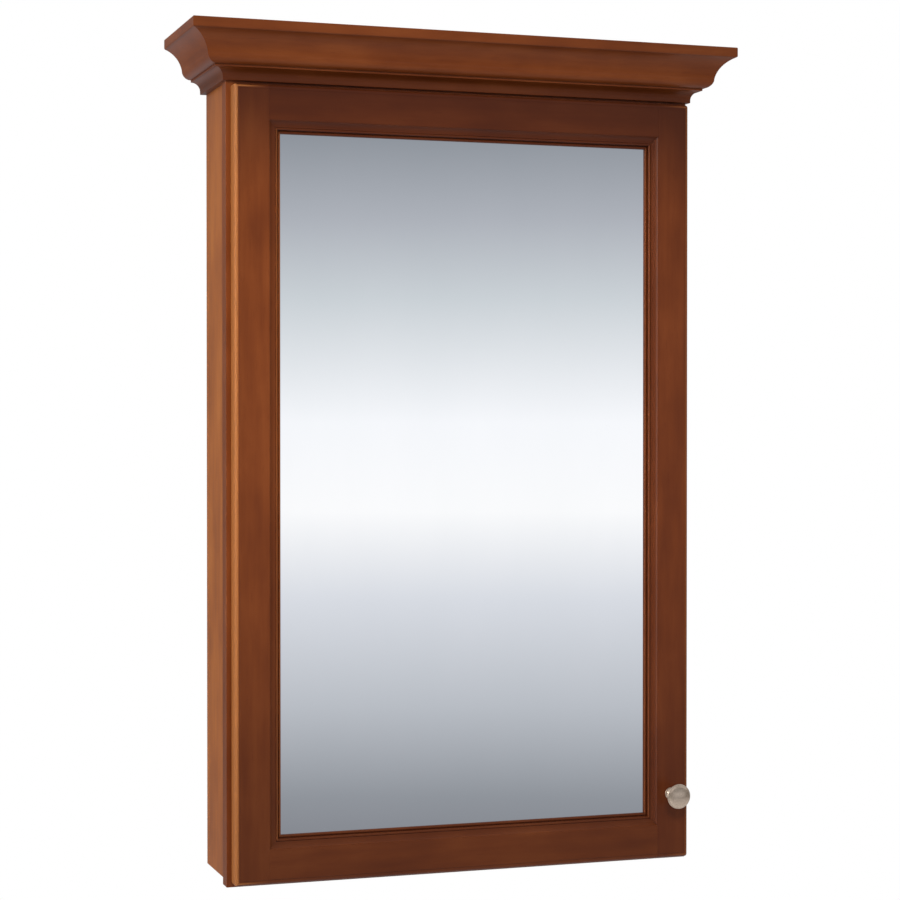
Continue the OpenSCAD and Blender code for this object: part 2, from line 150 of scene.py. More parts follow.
class Graph:
    """A shader or geometry tree that is being built."""

    def __init__(self, tree: bpy.types.NodeTree) -> None:
        """Start on an empty tree."""
        self.tree = tree
        tree.nodes.clear()

    def add(
        self, kind: str, settings: dict[str, Any] | None = None, inputs: dict[Any, Any] | None = None
    ) -> bpy.types.Node:
        """Add a node.

        Args:
            kind: the node's type name.
            settings: its properties; "stops" is a ramp's list of (place, colour).
            inputs: values, or links as sockets or Values, by socket name or index.

        Returns:
            The new node.
        """
        node = self.tree.nodes.new(kind)
        for name, value in (settings or {}).items():
            if name == "stops":
                elements = node.color_ramp.elements
                while len(elements) < len(value):
                    elements.new(0.5)
                for element, (place, colour) in zip(elements, value):
                    element.position, element.color = place, colour
            else:
                setattr(node, name, value)
        for name, value in (inputs or {}).items():
            value = value.socket if isinstance(value, Value) else value
            if isinstance(value, bpy.types.NodeSocket):
                self.tree.links.new(value, node.inputs[name])
            else:
                node.inputs[name].default_value = value
        return node

    def out(self, kind: str, output: Any = 0, settings: dict[str, Any] | None = None, **inputs: Any) -> Value:
        """Add a node whose input names are plain words, and wrap one of its outputs."""
        named = {name.replace("_", " "): value for name, value in inputs.items()}
        return Value(self, self.add(kind, settings, named).outputs[output])

    def noise(self, where: Value, scale: float, detail: float = 2.0, rough: float = 0.5) -> Value:
        """Soft random pattern from 0 to 1."""
        return self.out(
            "ShaderNodeTexNoise", 0, None, Vector=where, Scale=scale, Detail=detail, Roughness=rough
        )

    def stretched(self, where: Value, by: Sequence[float]) -> Value:
        """Coordinates multiplied by a vector."""
        node = self.add("ShaderNodeVectorMath", {"operation": "MULTIPLY"}, {0: where, 1: tuple(by)})
        return Value(self, node.outputs[0])

    def ramp(self, level: Value, *stops: tuple[float, Colour]) -> Value:
        """Colour by level."""
        return self.out("ShaderNodeValToRGB", 0, {"stops": stops}, Fac=level)

    def span(self, level: Value, low: float, high: float, to_low: float = 0.0, to_high: float = 1.0) -> Value:
        """Map a level from low..high onto another range, clamped and smoothed at both ends."""
        settings = {"interpolation_type": "SMOOTHSTEP"}
        inputs = {"From Min": low, "From Max": high, "To Min": to_low, "To Max": to_high, 0: level}
        return Value(self, self.add("ShaderNodeMapRange", settings, inputs).outputs[0])

    def mixed(self, factor: Any, first: Any, second: Any) -> Value:
        """Blend two colours."""
        node = self.add("ShaderNodeMix", {"data_type": "RGBA"}, {0: factor, 6: first, 7: second})
        return Value(self, node.outputs[2])


# ---------------------------------------------------------------- finishes
@dataclass(frozen=True)
class Finish:
    """A surface, made once as a material.

    Attributes:
        name: the material's name.
        slot: the finish it belongs to.
    """

    name: str
    slot: Slot

    def material(self) -> bpy.types.Material:
        """Return the material, building its nodes the first time."""
        made = bpy.data.materials.get(self.name)
        if made is None:
            made = bpy.data.materials.new(self.name)
            made.use_nodes = True
            graph = Graph(made.node_tree)
            where = Value(graph, graph.add("ShaderNodeTexCoord").outputs["Object"])
            shader = graph.add("ShaderNodeBsdfPrincipled")
            graph.add("ShaderNodeOutputMaterial", None, {"Surface": shader.outputs[0]})
            for name, value in self.surface(graph, where).items():
                if isinstance(value, Value):
                    made.node_tree.links.new(value.socket, shader.inputs[name])
                else:
                    shader.inputs[name].default_value = value
        return made

    def surface(self, graph: Graph, where: Value) -> dict[str, Any]:
        """Give the shader's inputs by name."""
        raise NotImplementedError

    def bump(self, graph: Graph, height: Value, strength: float, depth: float) -> Value:
        """Turn a height pattern into a normal."""
        return graph.out("ShaderNodeBump", 0, None, Height=height, Strength=strength, Distance=depth)


@dataclass(frozen=True)
class StainedWood(Finish):
    """Close-grained hardwood with a wiped stain and a satin lacquer.

    Attributes:
        grain: which way the fibres run.
        light, middle, dark: stain where the wood took little, some and much of it.
        glaze: dark colour of the glaze and painted shade in the quirks of the mouldings, and of the painted
            shade towards the door's ends.
        highlight_colour: painted highlight on lit edges and on the crests of beads.
        painted_top_shade: how much painted shade darkens the door towards its top end, under the crown; a
            fixed painted shade also darkens it towards the bottom.
    """

    grain: Grain = Grain.UPRIGHT
    light: Colour = tint(142, 74, 32)
    middle: Colour = tint(124, 60, 22)
    dark: Colour = tint(102, 45, 14)
    glaze: Colour = tint(60, 22, 8)
    highlight_colour: Colour = tint(206, 130, 68)
    painted_top_shade: float = 0.0

    def surface(self, graph: Graph, where: Value) -> dict[str, Any]:
        """Blotches, figure and short pores along the grain; glaze, painted shade and painted highlight from
        the mesh; painted shade towards the door's ends.
        """
        along = graph.stretched(where, self.grain.value)
        soft = graph.stretched(where, [0.45 if share < 1 else 1.0 for share in self.grain.value])
        blotch = graph.noise(soft, 16.0, 3.0, 0.55)
        cloud = graph.noise(soft, 46.0, 2.0, 0.5)
        figure = graph.noise(along, 95.0, 4.0, 0.6)
        pores = graph.noise(along, 900.0, 2.0, 0.6)
        level = blotch * 0.44 + cloud * 0.2 + figure * 0.36
        stain = graph.ramp(level, (0.30, self.dark), (0.5, self.middle), (0.70, self.light))
        pore = graph.span(pores, 0.60, 0.72, 0.0, 0.35)
        stain = graph.mixed(pore, stain, self.dark)
        # Mesh level above 0: dark glaze and painted shade in quirks and creases.
        quirk = graph.out("ShaderNodeAttribute", "Fac", {"attribute_name": "glaze"})
        colour = graph.mixed(graph.span(quirk, 0.0, 1.0, 0.0, 0.6), stain, self.glaze)
        # Painted shade: darker towards the door's top, under the crown, and towards its bottom.
        if self.painted_top_shade:
            height = Value(graph, graph.add("ShaderNodeSeparateXYZ", None, {0: where}).outputs[2])
            ends = graph.span(height, 0.27, 0.43) * self.painted_top_shade + graph.span(height, -0.46, -0.08, 0.36, 0.0)
            colour = graph.mixed(ends, colour, self.glaze)
        # Mesh level below 0: painted highlight on lit edges and bead crests.
        colour = graph.mixed(graph.span(quirk, -1.0, 0.0, 0.58, 0.0), colour, self.highlight_colour)
        return {
            "Base Color": colour,
            "Roughness": figure * 0.10 + blotch * 0.06 + 0.34,
            "Normal": self.bump(graph, figure * 0.7 - pore * 0.6, 0.10, 0.0004),
            "Specular IOR Level": 0.2,
            "Coat Weight": 0.06,
            "Coat Roughness": 0.2,
        }


@dataclass(frozen=True)
class PaleWood(Finish):
    """Clear-lacquered maple veneer for the inside.

    Attributes:
        grain: which way the fibres run.
        light, dark: early and late wood.
    """

    grain: Grain = Grain.UPRIGHT
    light: Colour = tint(226, 196, 150)
    dark: Colour = tint(205, 168, 120)

    def surface(self, graph: Graph, where: Value) -> dict[str, Any]:
        """Gentle bands that wander along the grain, with fine flecks."""
        along = graph.stretched(where, self.grain.value)
        bands = graph.noise(along, 38.0, 4.0, 0.6)
        flecks = graph.noise(along, 620.0, 2.0, 0.6)
        colour = graph.ramp(bands * 0.75 + flecks * 0.25, (0.38, self.dark), (0.60, self.light))
        return {
            "Base Color": colour,
            "Roughness": flecks * 0.12 + 0.36,
            "Normal": self.bump(graph, flecks, 0.08, 0.0003),
            "Coat Weight": 0.15,
        }


@dataclass(frozen=True)
class SilveredGlass(Finish):
    """Plate mirror with the faintest wiping haze."""

    def surface(self, graph: Graph, where: Value) -> dict[str, Any]:
        """A clear reflection; haze and tint vary by a hair."""
        haze = graph.noise(graph.stretched(where, (1.0, 1.0, 0.4)), 7.0, 4.0, 0.6)
        return {
            "Base Color": graph.ramp(haze, (0.3, (0.925, 0.935, 0.94, 1)), (0.7, (0.95, 0.955, 0.96, 1))),
            "Metallic": 1.0,
            "Roughness": graph.span(haze, 0.45, 0.8, 0.004, 0.03),
        }


@dataclass(frozen=True)
class PressedBoard(Finish):
    """Brown fibre board.

    Attributes:
        light, dark: the fibres' two tones.
        scale: how fine the fibres are, in patterns per metre.
    """

    light: Colour = tint(128, 96, 66)
    dark: Colour = tint(92, 66, 44)
    scale: float = 420.0

    def surface(self, graph: Graph, where: Value) -> dict[str, Any]:
        """Felted fibres without a direction."""
        felt = graph.noise(where, self.scale, 5.0, 0.7)
        cloud = graph.noise(where, 30.0, 2.0)
        colour = graph.ramp(felt * 0.7 + cloud * 0.3, (0.35, self.dark), (0.65, self.light))
        return {
            "Base Color": colour,
            "Roughness": felt * 0.2 + 0.62,
            "Normal": self.bump(graph, felt, 0.25, 0.0003),
        }


@dataclass(frozen=True)
class Metal(Finish):
    """Plated or brushed metal.

    Attributes:
        light, dark: reflection where it is brightest and dullest.
        brush: multipliers that draw the marks of the finish out.
        scale: marks per metre.
        rough: mean roughness.
    """

    light: Colour = tint(214, 212, 208)
    dark: Colour = tint(176, 174, 172)
    brush: tuple[float, float, float] = (1.0, 1.0, 1.0)
    scale: float = 300.0
    rough: float = 0.28

    def surface(self, graph: Graph, where: Value) -> dict[str, Any]:
        """Fine marks that change tint, gloss and height together."""
        marks = graph.noise(graph.stretched(where, self.brush), self.scale, 3.0, 0.6)
        return {
            "Base Color": graph.ramp(marks, (0.35, self.dark), (0.65, self.light)),
            "Metallic": 1.0,
            "Roughness": marks * 0.14 + (self.rough - 0.07),
            "Normal": self.bump(graph, marks, 0.06, 0.0002),
        }


@dataclass(frozen=True)
class SoftPlastic(Finish):
    """Clear-grey bumper rubber."""

    def surface(self, graph: Graph, where: Value) -> dict[str, Any]:
        """Slightly cloudy, slightly matt."""
        cloud = graph.noise(where, 500.0, 2.0)
        return {
            "Base Color": graph.ramp(cloud, (0.3, tint(196, 198, 196)), (0.7, tint(222, 223, 220))),
            "Roughness": cloud * 0.2 + 0.4,
            "Normal": self.bump(graph, cloud, 0.1, 0.0002),
        }


# A lighter copy of the stain for the side panels: painted light for the stronger light from the left.
SIDE_PAINTED_LIGHT = StainedWood(
    "stained_side", Slot.STAINED, Grain.UPRIGHT, tint(190, 115, 51), tint(168, 94, 36), tint(136, 69, 24)
)
DOOR_WAYS = (Grain.UPRIGHT, Grain.ACROSS)
# The door's stain is darkened by painted shade towards its top and its bottom.
DOOR = {way: StainedWood(f"door_{way.name.lower()}", Slot.STAINED, way, painted_top_shade=0.8) for way in DOOR_WAYS}
# Darker copies of the door stain for the right stile and the top rail: painted shade for light that falls off
# to the right and under the crown, with a darker painted highlight.
SHADED = {
    way: StainedWood(
        f"deep_{way.name.lower()}",
        Slot.STAINED,
        way,
        tint(132, 66, 28),
        tint(114, 53, 19),
        tint(94, 40, 12),
        highlight_colour=tint(156, 90, 44),
        painted_top_shade=0.8,
    )
    for way in DOOR_WAYS
}
STAINED = {way: StainedWood(f"stained_{way.name.lower()}", Slot.STAINED, grain=way) for way in Grain}
PALE = {way: PaleWood(f"pale_{way.name.lower()}", Slot.INNER, grain=way) for way in Grain}
MIRROR = SilveredGlass("silvered_glass", Slot.MIRROR)
BACKING = PressedBoard("pressed_board", Slot.BACKING)
STRIP = PressedBoard("stop_strip", Slot.STRIP, tint(98, 60, 36), tint(70, 40, 24), 260.0)
STEEL = Metal("plated_steel", Slot.STEEL)
NICKEL = Metal(
    "nickel_plate", Slot.NICKEL, tint(219, 200, 181), tint(201, 181, 162), (1.0, 0.2, 1.0), 520.0, 0.30
)
RUBBER = SoftPlastic("bumper_rubber", Slot.BUMPER)


# ---------------------------------------------------------------- mesh helpers
def arc(centre: Point2, radius: float, start: float, end: float, steps: int) -> list[Point2]:
    """Points on an arc, both ends included, with angles in degrees."""
    turns = (math.radians(start + (end - start) * k / steps) for k in range(steps + 1))
    return [(centre[0] + radius * math.cos(a), centre[1] + radius * math.sin(a)) for a in turns]


def new_mesh(name: str, bm: bmesh.types.BMesh, smooth_below: float = 40.0) -> bpy.types.Mesh:
    """Finish a bmesh as a closed, outward-facing mesh with crisp and soft edges told apart."""
    bmesh.ops.remove_doubles(bm, verts=bm.verts[:], dist=1e-6)
    bmesh.ops.recalc_face_normals(bm, faces=bm.faces[:])
    mesh = bpy.data.meshes.new(name)
    bm.to_mesh(mesh)
    bm.free()
    mesh.shade_smooth()
    mesh.set_sharp_from_angle(angle=math.radians(smooth_below))
    return mesh


def evaluated(obj: bpy.types.Object) -> bpy.types.Mesh:
    """Return a plain mesh of an object with its modifiers, and drop the object."""
    bpy.context.view_layer.update()
    graph = bpy.context.evaluated_depsgraph_get()
    mesh = bpy.data.meshes.new_from_object(
        obj.evaluated_get(graph), preserve_all_data_layers=True, depsgraph=graph
    )
    bpy.data.objects.remove(obj)
    return mesh


def loose_object(name: str, mesh: bpy.types.Mesh) -> bpy.types.Object:
    """Put a mesh into the scene as an object at the origin."""
    obj = bpy.data.objects.new(name, mesh)
    bpy.context.collection.objects.link(obj)
    return obj


def weighted(mesh: bpy.types.Mesh) -> bpy.types.Mesh:
    """Let large flats keep their own normals next to small roundings."""
    obj = loose_object(mesh.name + "_w", mesh)
    modifier = obj.modifiers.new("normals", "WEIGHTED_NORMAL")
    modifier.keep_sharp = True
    return evaluated(obj)


def prism(bm: bmesh.types.BMesh, outline: Sequence[Point2], place: Callable[[Point2, float], Vector]) -> None:
    """Add a closed prism.

    Args:
        bm: the mesh that grows.
        outline: corners of the section.
        place: gives the point in space for a corner and an end, 0 or 1.
    """
    rings = [[bm.verts.new(place(corner, end)) for corner in outline] for end in (0.0, 1.0)]
    count = len(outline)
    for k in range(count):
        j = (k + 1) % count
        bm.faces.new((rings[0][k], rings[0][j], rings[1][j], rings[1][k]))
    bm.faces.new(rings[0][::-1])
    bm.faces.new(rings[1])


def loft(bm: bmesh.types.BMesh, stations: Sequence[Sequence[Vector]], closed: bool) -> None:
    """Join stations of equally many points with faces; an open run gets end caps."""
    rings = [[bm.verts.new(point) for point in station] for station in stations]
    count = len(rings[0])
    for s in range(len(rings) if closed else len(rings) - 1):
        here, there = rings[s], rings[(s + 1) % len(rings)]
        for k in range(count):
            j = (k + 1) % count
            bm.faces.new((here[k], here[j], there[j], there[k]))
    if not closed:
        bm.faces.new(rings[0][::-1])
        bm.faces.new(rings[-1])


def turned(bm: bmesh.types.BMesh, profile: Sequence[Point2], steps: int, base: Matrix) -> None:
    """Add a turned shape: radius and height along the profile, poles closed, then placed by base."""
    columns = []
    for s in range(steps):
        angle = 2 * math.pi * s / steps
        way = Vector((math.cos(angle), math.sin(angle), 0))
        columns.append([bm.verts.new(base @ (way * r + Vector((0, 0, h)))) for r, h in profile])
    for s in range(steps):
        here, there = columns[s], columns[(s + 1) % steps]
        for k in range(len(profile) - 1):
            bm.faces.new((here[k], there[k], there[k + 1], here[k + 1]))
    bm.faces.new([column[0] for column in columns][::-1])
    bm.faces.new([column[-1] for column in columns])


def paint_glaze_shade_and_highlight(mesh: bpy.types.Mesh, level: Callable[[Vector], float]) -> None:
    """Store at every point of a mesh how much glaze and painted shade darken it, or below 0 how much painted
    highlight lightens it.
    """
    layer = mesh.attributes.new("glaze", "FLOAT", "POINT")
    layer.data.foreach_set("value", [level(vertex.co) for vertex in mesh.vertices])


# ---------------------------------------------------------------- workshop
@dataclass
class Workshop:
    """Puts finished pieces into the frame.

    Attributes:
        nodes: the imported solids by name.
        count: how many pieces were placed.
    """

    nodes: dict[str, bpy.types.Object]
    count: int = 0

    def place(
        self, name: str, mesh: bpy.types.Mesh, body: Body, finish: Finish, *stands_for: str
    ) -> bpy.types.Object:
        """Make a piece of a mesh, in its finish, riding on a body, in place of CAD nodes."""
        mesh.materials.clear()
        mesh.materials.append(finish.material())
        obj = loose_object(name, mesh)
        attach(obj, body.value)
        if stands_for:
            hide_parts(*stands_for)
        self.count += 1
        log.info("%s: %d faces on %s", name, len(mesh.polygons), body.value)
        return obj

    def dress(self, node: str, finish: Finish) -> None:
        """Give a CAD node its finish."""
        materials = self.nodes[node].data.materials
        if not materials:
            materials.append(None)
        for index in range(len(materials)):
            materials[index] = finish.material()
        log.info("%s: dressed as %s", node, finish.name)

    def ease_board(
        self, node: str, body: Body, finish: Finish, reach: float = 0.7 * MM, least: float = 9 * MM
    ) -> bpy.types.Object:
        """Stand a copy of a CAD board with rubbed-down arrises in for it.

        Args:
            node: the board.
            body: the body it rides on.
            finish: its surface.
            reach: how far the rounding goes along each side of an arris.
            least: shortest arris that is rounded, which leaves drilled holes crisp.

        Returns:
            The board that stands in.
        """
        bm = bmesh.new()
        bm.from_mesh(self.nodes[node].data)
        bmesh.ops.remove_doubles(bm, verts=bm.verts[:], dist=1e-6)
        bmesh.ops.dissolve_limit(
            bm,
            angle_limit=math.radians(1),
            verts=bm.verts[:],
            edges=bm.edges[:],
            use_dissolve_boundaries=False,
        )
        arrises = [
            edge
            for edge in bm.edges
            if len(edge.link_faces) == 2
            and edge.calc_length() > least
            and edge.calc_face_angle_signed(0.0) > math.radians(40)
        ]
        bmesh.ops.bevel(
            bm, geom=arrises, offset=reach, segments=2, profile=0.5, affect="EDGES", clamp_overlap=True
        )
        bmesh.ops.triangulate(bm, faces=[face for face in bm.faces if len(face.verts) > 4])
        mesh = weighted(new_mesh(node + "_eased", bm, 50.0))
        return self.place(node + "_eased", mesh, body, finish, node)


# ---------------------------------------------------------------- repeated small parts
class PartTree:
    """A geometry tree that sets one small part on every marked point."""

    def __init__(self, name: str, inputs: Sequence[tuple[str, Any]]) -> None:
        """Start the tree with named sizes.

        Args:
            name: the tree's name.
            inputs: (name, first value) of each size.
        """
        self.tree = bpy.data.node_groups.new(name, "GeometryNodeTree")
        self.graph = Graph(self.tree)
        face = self.tree.interface
        face.new_socket("Points", in_out="INPUT", socket_type="NodeSocketGeometry")
        for label, value in inputs:
            kind = "NodeSocketInt" if isinstance(value, int) else "NodeSocketFloat"
            face.new_socket(label, in_out="INPUT", socket_type=kind).default_value = value
        face.new_socket("Material", in_out="INPUT", socket_type="NodeSocketMaterial")
        face.new_socket("Parts", in_out="OUTPUT", socket_type="NodeSocketGeometry")
        self.source = self.graph.add("NodeGroupInput")

    def size(self, name: str) -> Value:
        """One of the named sizes."""
        return Value(self.graph, self.source.outputs[name])

    def put(self, part: Value, height: Any = 0.0, side: Any = 0.0, turn: float = 0.0) -> Value:
        """Shift a part along its axis and sideways, and turn it about the axis."""
        where = self.graph.out("ShaderNodeCombineXYZ", 0, None, Y=side, Z=height)
        return self.graph.out(
            "GeometryNodeTransform", 0, None, Geometry=part, Translation=where, Rotation=(0, 0, turn)
        )

    def joined(self, *parts: Value) -> Value:
        """Put parts together."""
        node = self.graph.add("GeometryNodeJoinGeometry")
        for part in parts:
            self.tree.links.new(part.socket, node.inputs[0])
        return Value(self.graph, node.outputs[0])

    def cut(self, part: Value, tool: Value) -> Value:
        """Take the tool away from the part."""
        node = self.graph.add("GeometryNodeMeshBoolean", {"operation": "DIFFERENCE"}, {0: part, 1: tool})
        return Value(self.graph, node.outputs[0])

    def rod(self, radius: Any, length: Any, sides: int = 20) -> Value:
        """A rod centred on the part's origin."""
        return self.graph.out(
            "GeometryNodeMeshCylinder", 0, None, Vertices=sides, Radius=radius, Depth=length
        )

    def block(self, wide: Any, deep: Any, high: Any) -> Value:
        """A block centred on the part's origin."""
        size = self.graph.out("ShaderNodeCombineXYZ", 0, None, X=wide, Y=deep, Z=high)
        return self.graph.out("GeometryNodeMeshCube", 0, None, Size=size)

    def finish(self, part: Value, spin: bool) -> None:
        """Set the part on the points, make it real and give it its material.

        Args:
            part: what is repeated.
            spin: whether each one is turned by chance about its own axis.
        """
        graph = self.graph
        turn = graph.add(
            "GeometryNodeInputNamedAttribute", {"data_type": "FLOAT_VECTOR"}, {"Name": "turn"}
        )
        facing = graph.out("FunctionNodeEulerToRotation", 0, None, Euler=Value(graph, turn.outputs[0]))
        if spin:
            chance = graph.add(
                "FunctionNodeRandomValue", {"data_type": "FLOAT"}, {2: 0.0, 3: 3.1, "Seed": self.size("Seed")}
            )
            own = graph.out(
                "FunctionNodeAxisAngleToRotation",
                0,
                None,
                Axis=(0, 0, 1),
                Angle=Value(graph, chance.outputs[1]),
            )
            facing = graph.out(
                "FunctionNodeRotateRotation", 0, {"rotation_space": "LOCAL"}, Rotation=facing, Rotate_By=own
            )
        points = Value(graph, self.source.outputs["Points"])
        many = graph.out(
            "GeometryNodeInstanceOnPoints", 0, None, Points=points, Instance=part, Rotation=facing
        )
        real = graph.out("GeometryNodeRealizeInstances", 0, None, Geometry=many)
        skin = Value(graph, self.source.outputs["Material"])
        dressed = graph.out("GeometryNodeSetMaterial", 0, None, Geometry=real, Material=skin)
        graph.add("NodeGroupOutput", None, {"Parts": dressed})

    def run(
        self, name: str, spots: Sequence[tuple[Vector, Vector]], finish: Finish, **sizes: Any
    ) -> bpy.types.Mesh:
        """Lay the part on spots.

        Args:
            name: the new mesh's name.
            spots: (place, axis that points out of the surface) of each.
            finish: the surface.
            sizes: the named sizes, with _ for a space.

        Returns:
            One plain mesh of all the parts.
        """
        mesh = bpy.data.meshes.new(name)
        mesh.from_pydata([place for place, _ in spots], [], [])
        turns = mesh.attributes.new("turn", "FLOAT_VECTOR", "POINT")
        for index, (_, axis) in enumerate(spots):
            turns.data[index].vector = axis.to_track_quat("Z", "Y").to_euler()
        obj = loose_object(name, mesh)
        modifier = obj.modifiers.new("parts", "NODES")
        modifier.node_group = self.tree
        wanted = {label.replace("_", " "): value for label, value in sizes.items()}
        wanted["Material"] = finish.material()
        for item in self.tree.interface.items_tree:
            if item.in_out == "INPUT" and item.name in wanted:
                modifier[item.identifier] = wanted[item.name]
        made = evaluated(obj)
        bm = bmesh.new()
        bm.from_mesh(made)
        return new_mesh(name, bm, 30.0)


def screw_tree() -> PartTree:
    """Pan-head screws with a cross recess."""
    part = PartTree(
        "cross_recess_screws",
        [
            ("Head Radius", 3.2 * MM),
            ("Head Height", 1.2 * MM),
            ("Shank Radius", 1.5 * MM),
            ("Shank Length", 8.0 * MM),
            ("Seed", 3),
        ],
    )
    radius, height = part.size("Head Radius"), part.size("Head Height")
    rim = part.put(part.rod(radius, height * 0.55, 28), height * 0.275)
    cap = part.graph.out(
        "GeometryNodeMeshCone",
        0,
        None,
        Vertices=28,
        Radius_Top=radius * 0.62,
        Radius_Bottom=radius * 0.97,
        Depth=height * 0.45,
    )
    cap = part.put(cap, height * 0.55)
    arm = part.put(part.block(radius * 1.15, radius * 0.24, height), height * 1.12)
    for slot in (arm, part.put(arm, height * -0.03, turn=math.pi / 2)):
        cap = part.cut(cap, slot)
    head = part.joined(rim, cap)
    length = part.size("Shank Length")
    shank = part.put(part.rod(part.size("Shank Radius"), length, 14), length * -0.5)
    part.finish(part.joined(head, shank), spin=True)
    return part


def clip_tree() -> PartTree:
    """Small rounded plates with a screw hole off their middle."""
    part = PartTree(
        "retainer_plates",
        [
            ("Wide", 14 * MM),
            ("High", 18 * MM),
            ("Thick", 1 * MM),
            ("Corner", 2 * MM),
            ("Hole", 1.5 * MM),
            ("Offset", 2.5 * MM),
        ],
    )
    graph = part.graph
    outline = graph.out(
        "GeometryNodeCurvePrimitiveQuadrilateral", 0, None, Width=part.size("Wide"), Height=part.size("High")
    )
    rounded = graph.out(
        "GeometryNodeFilletCurve", 0, {"mode": "POLY"}, Curve=outline, Count=5, Radius=part.size("Corner")
    )
    shift = graph.out("ShaderNodeCombineXYZ", 0, None, X=part.size("Offset"))
    moved = graph.out("GeometryNodeTransform", 0, None, Geometry=rounded, Translation=shift)
    hole = graph.out("GeometryNodeCurvePrimitiveCircle", 0, None, Resolution=16, Radius=part.size("Hole"))
    flat = graph.out("GeometryNodeFillCurve", 0, {"mode": "TRIANGLES"}, Curve=part.joined(moved, hole))
    rise = graph.out("ShaderNodeCombineXYZ", 0, None, Z=1.0)
    raised = graph.add(
        "GeometryNodeExtrudeMesh",
        None,
        {"Mesh": flat, "Offset": rise, "Offset Scale": part.size("Thick"), "Individual": False},
    )
    under = graph.out("GeometryNodeFlipFaces", 0, None, Mesh=flat)
    plate = part.joined(Value(graph, raised.outputs["Mesh"]), under)
    part.finish(graph.out("GeometryNodeMergeByDistance", 0, None, Geometry=plate, Distance=1e-6), spin=False)
    return part


def pin_tree() -> PartTree:
    """Shelf pins: a rod, a collar and a rest that is flat on top."""
    part = PartTree(
        "shelf_pins",
        [
            ("Rod Radius", 2.45 * MM),
            ("Rod Length", 9.5 * MM),
            ("Collar Radius", 3.6 * MM),
            ("Collar", 1 * MM),
            ("Rest", 8 * MM),
        ],
    )
    length, collar, rest = part.size("Rod Length"), part.size("Collar"), part.size("Rest")
    radius = part.size("Rod Radius")
    rod = part.put(part.rod(radius, length), length * -0.5)
    ring = part.put(part.rod(part.size("Collar Radius"), collar, 28), collar * 0.5)
    spoon = part.put(part.rod(radius, rest), rest * 0.5 + collar)
    waste = part.put(part.block(radius * 3, radius * 2, rest * 3), rest, radius * 1.98)
    part.finish(part.joined(rod, ring, part.cut(spoon, waste)), spin=False)
    return part


# ---------------------------------------------------------------- sub-assemblies
@dataclass
class Carcass:
    """Box, face frame and hanging rails.

    Attributes:
        shop: where the pieces go.
        painted_highlight: painted highlight on the outer sides of the face frame, less than 0 where it
            lightens.
        grains: which way the fibres of each outer board run.
        inner: the same for the boards inside.
    """

    shop: Workshop
    painted_highlight: float = -0.1
    grains: dict[str, Grain] = field(
        default_factory=lambda: {
            "face_frame_left_stile": Grain.UPRIGHT,
            "face_frame_right_stile": Grain.UPRIGHT,
            "face_frame_top_rail": Grain.ACROSS,
            "face_frame_bottom_rail": Grain.ACROSS,
        }
    )
    inner: dict[str, Grain] = field(
        default_factory=lambda: {
            "top_panel": Grain.ACROSS,
            "bottom_panel": Grain.ACROSS,
            "back_panel": Grain.UPRIGHT,
            "upper_hanging_rail": Grain.ACROSS,
            "lower_hanging_rail": Grain.ACROSS,
        }
    )

    def build(self) -> None:
        """Ease and dress every board."""
        for node in ("left_side_panel", "right_side_panel"):
            self.shop.ease_board(node, Body.CABINET, SIDE_PAINTED_LIGHT, 0.5 * MM)
        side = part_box("face_frame_right_stile")[1][0] - 0.1 * MM
        for node, grain in self.grains.items():
            board = self.shop.ease_board(node, Body.CABINET, STAINED[grain], 0.5 * MM)
            # Painted highlight on the face frame's outer sides.
            paint_glaze_shade_and_highlight(board.data, lambda point: self.painted_highlight if abs(point.x) > side else 0.0)
        for node, grain in self.inner.items():
            self.shop.ease_board(node, Body.CABINET, PALE[grain], 0.4 * MM)
        self.shop.dress("crown_glue_blocks", PALE[Grain.ACROSS])


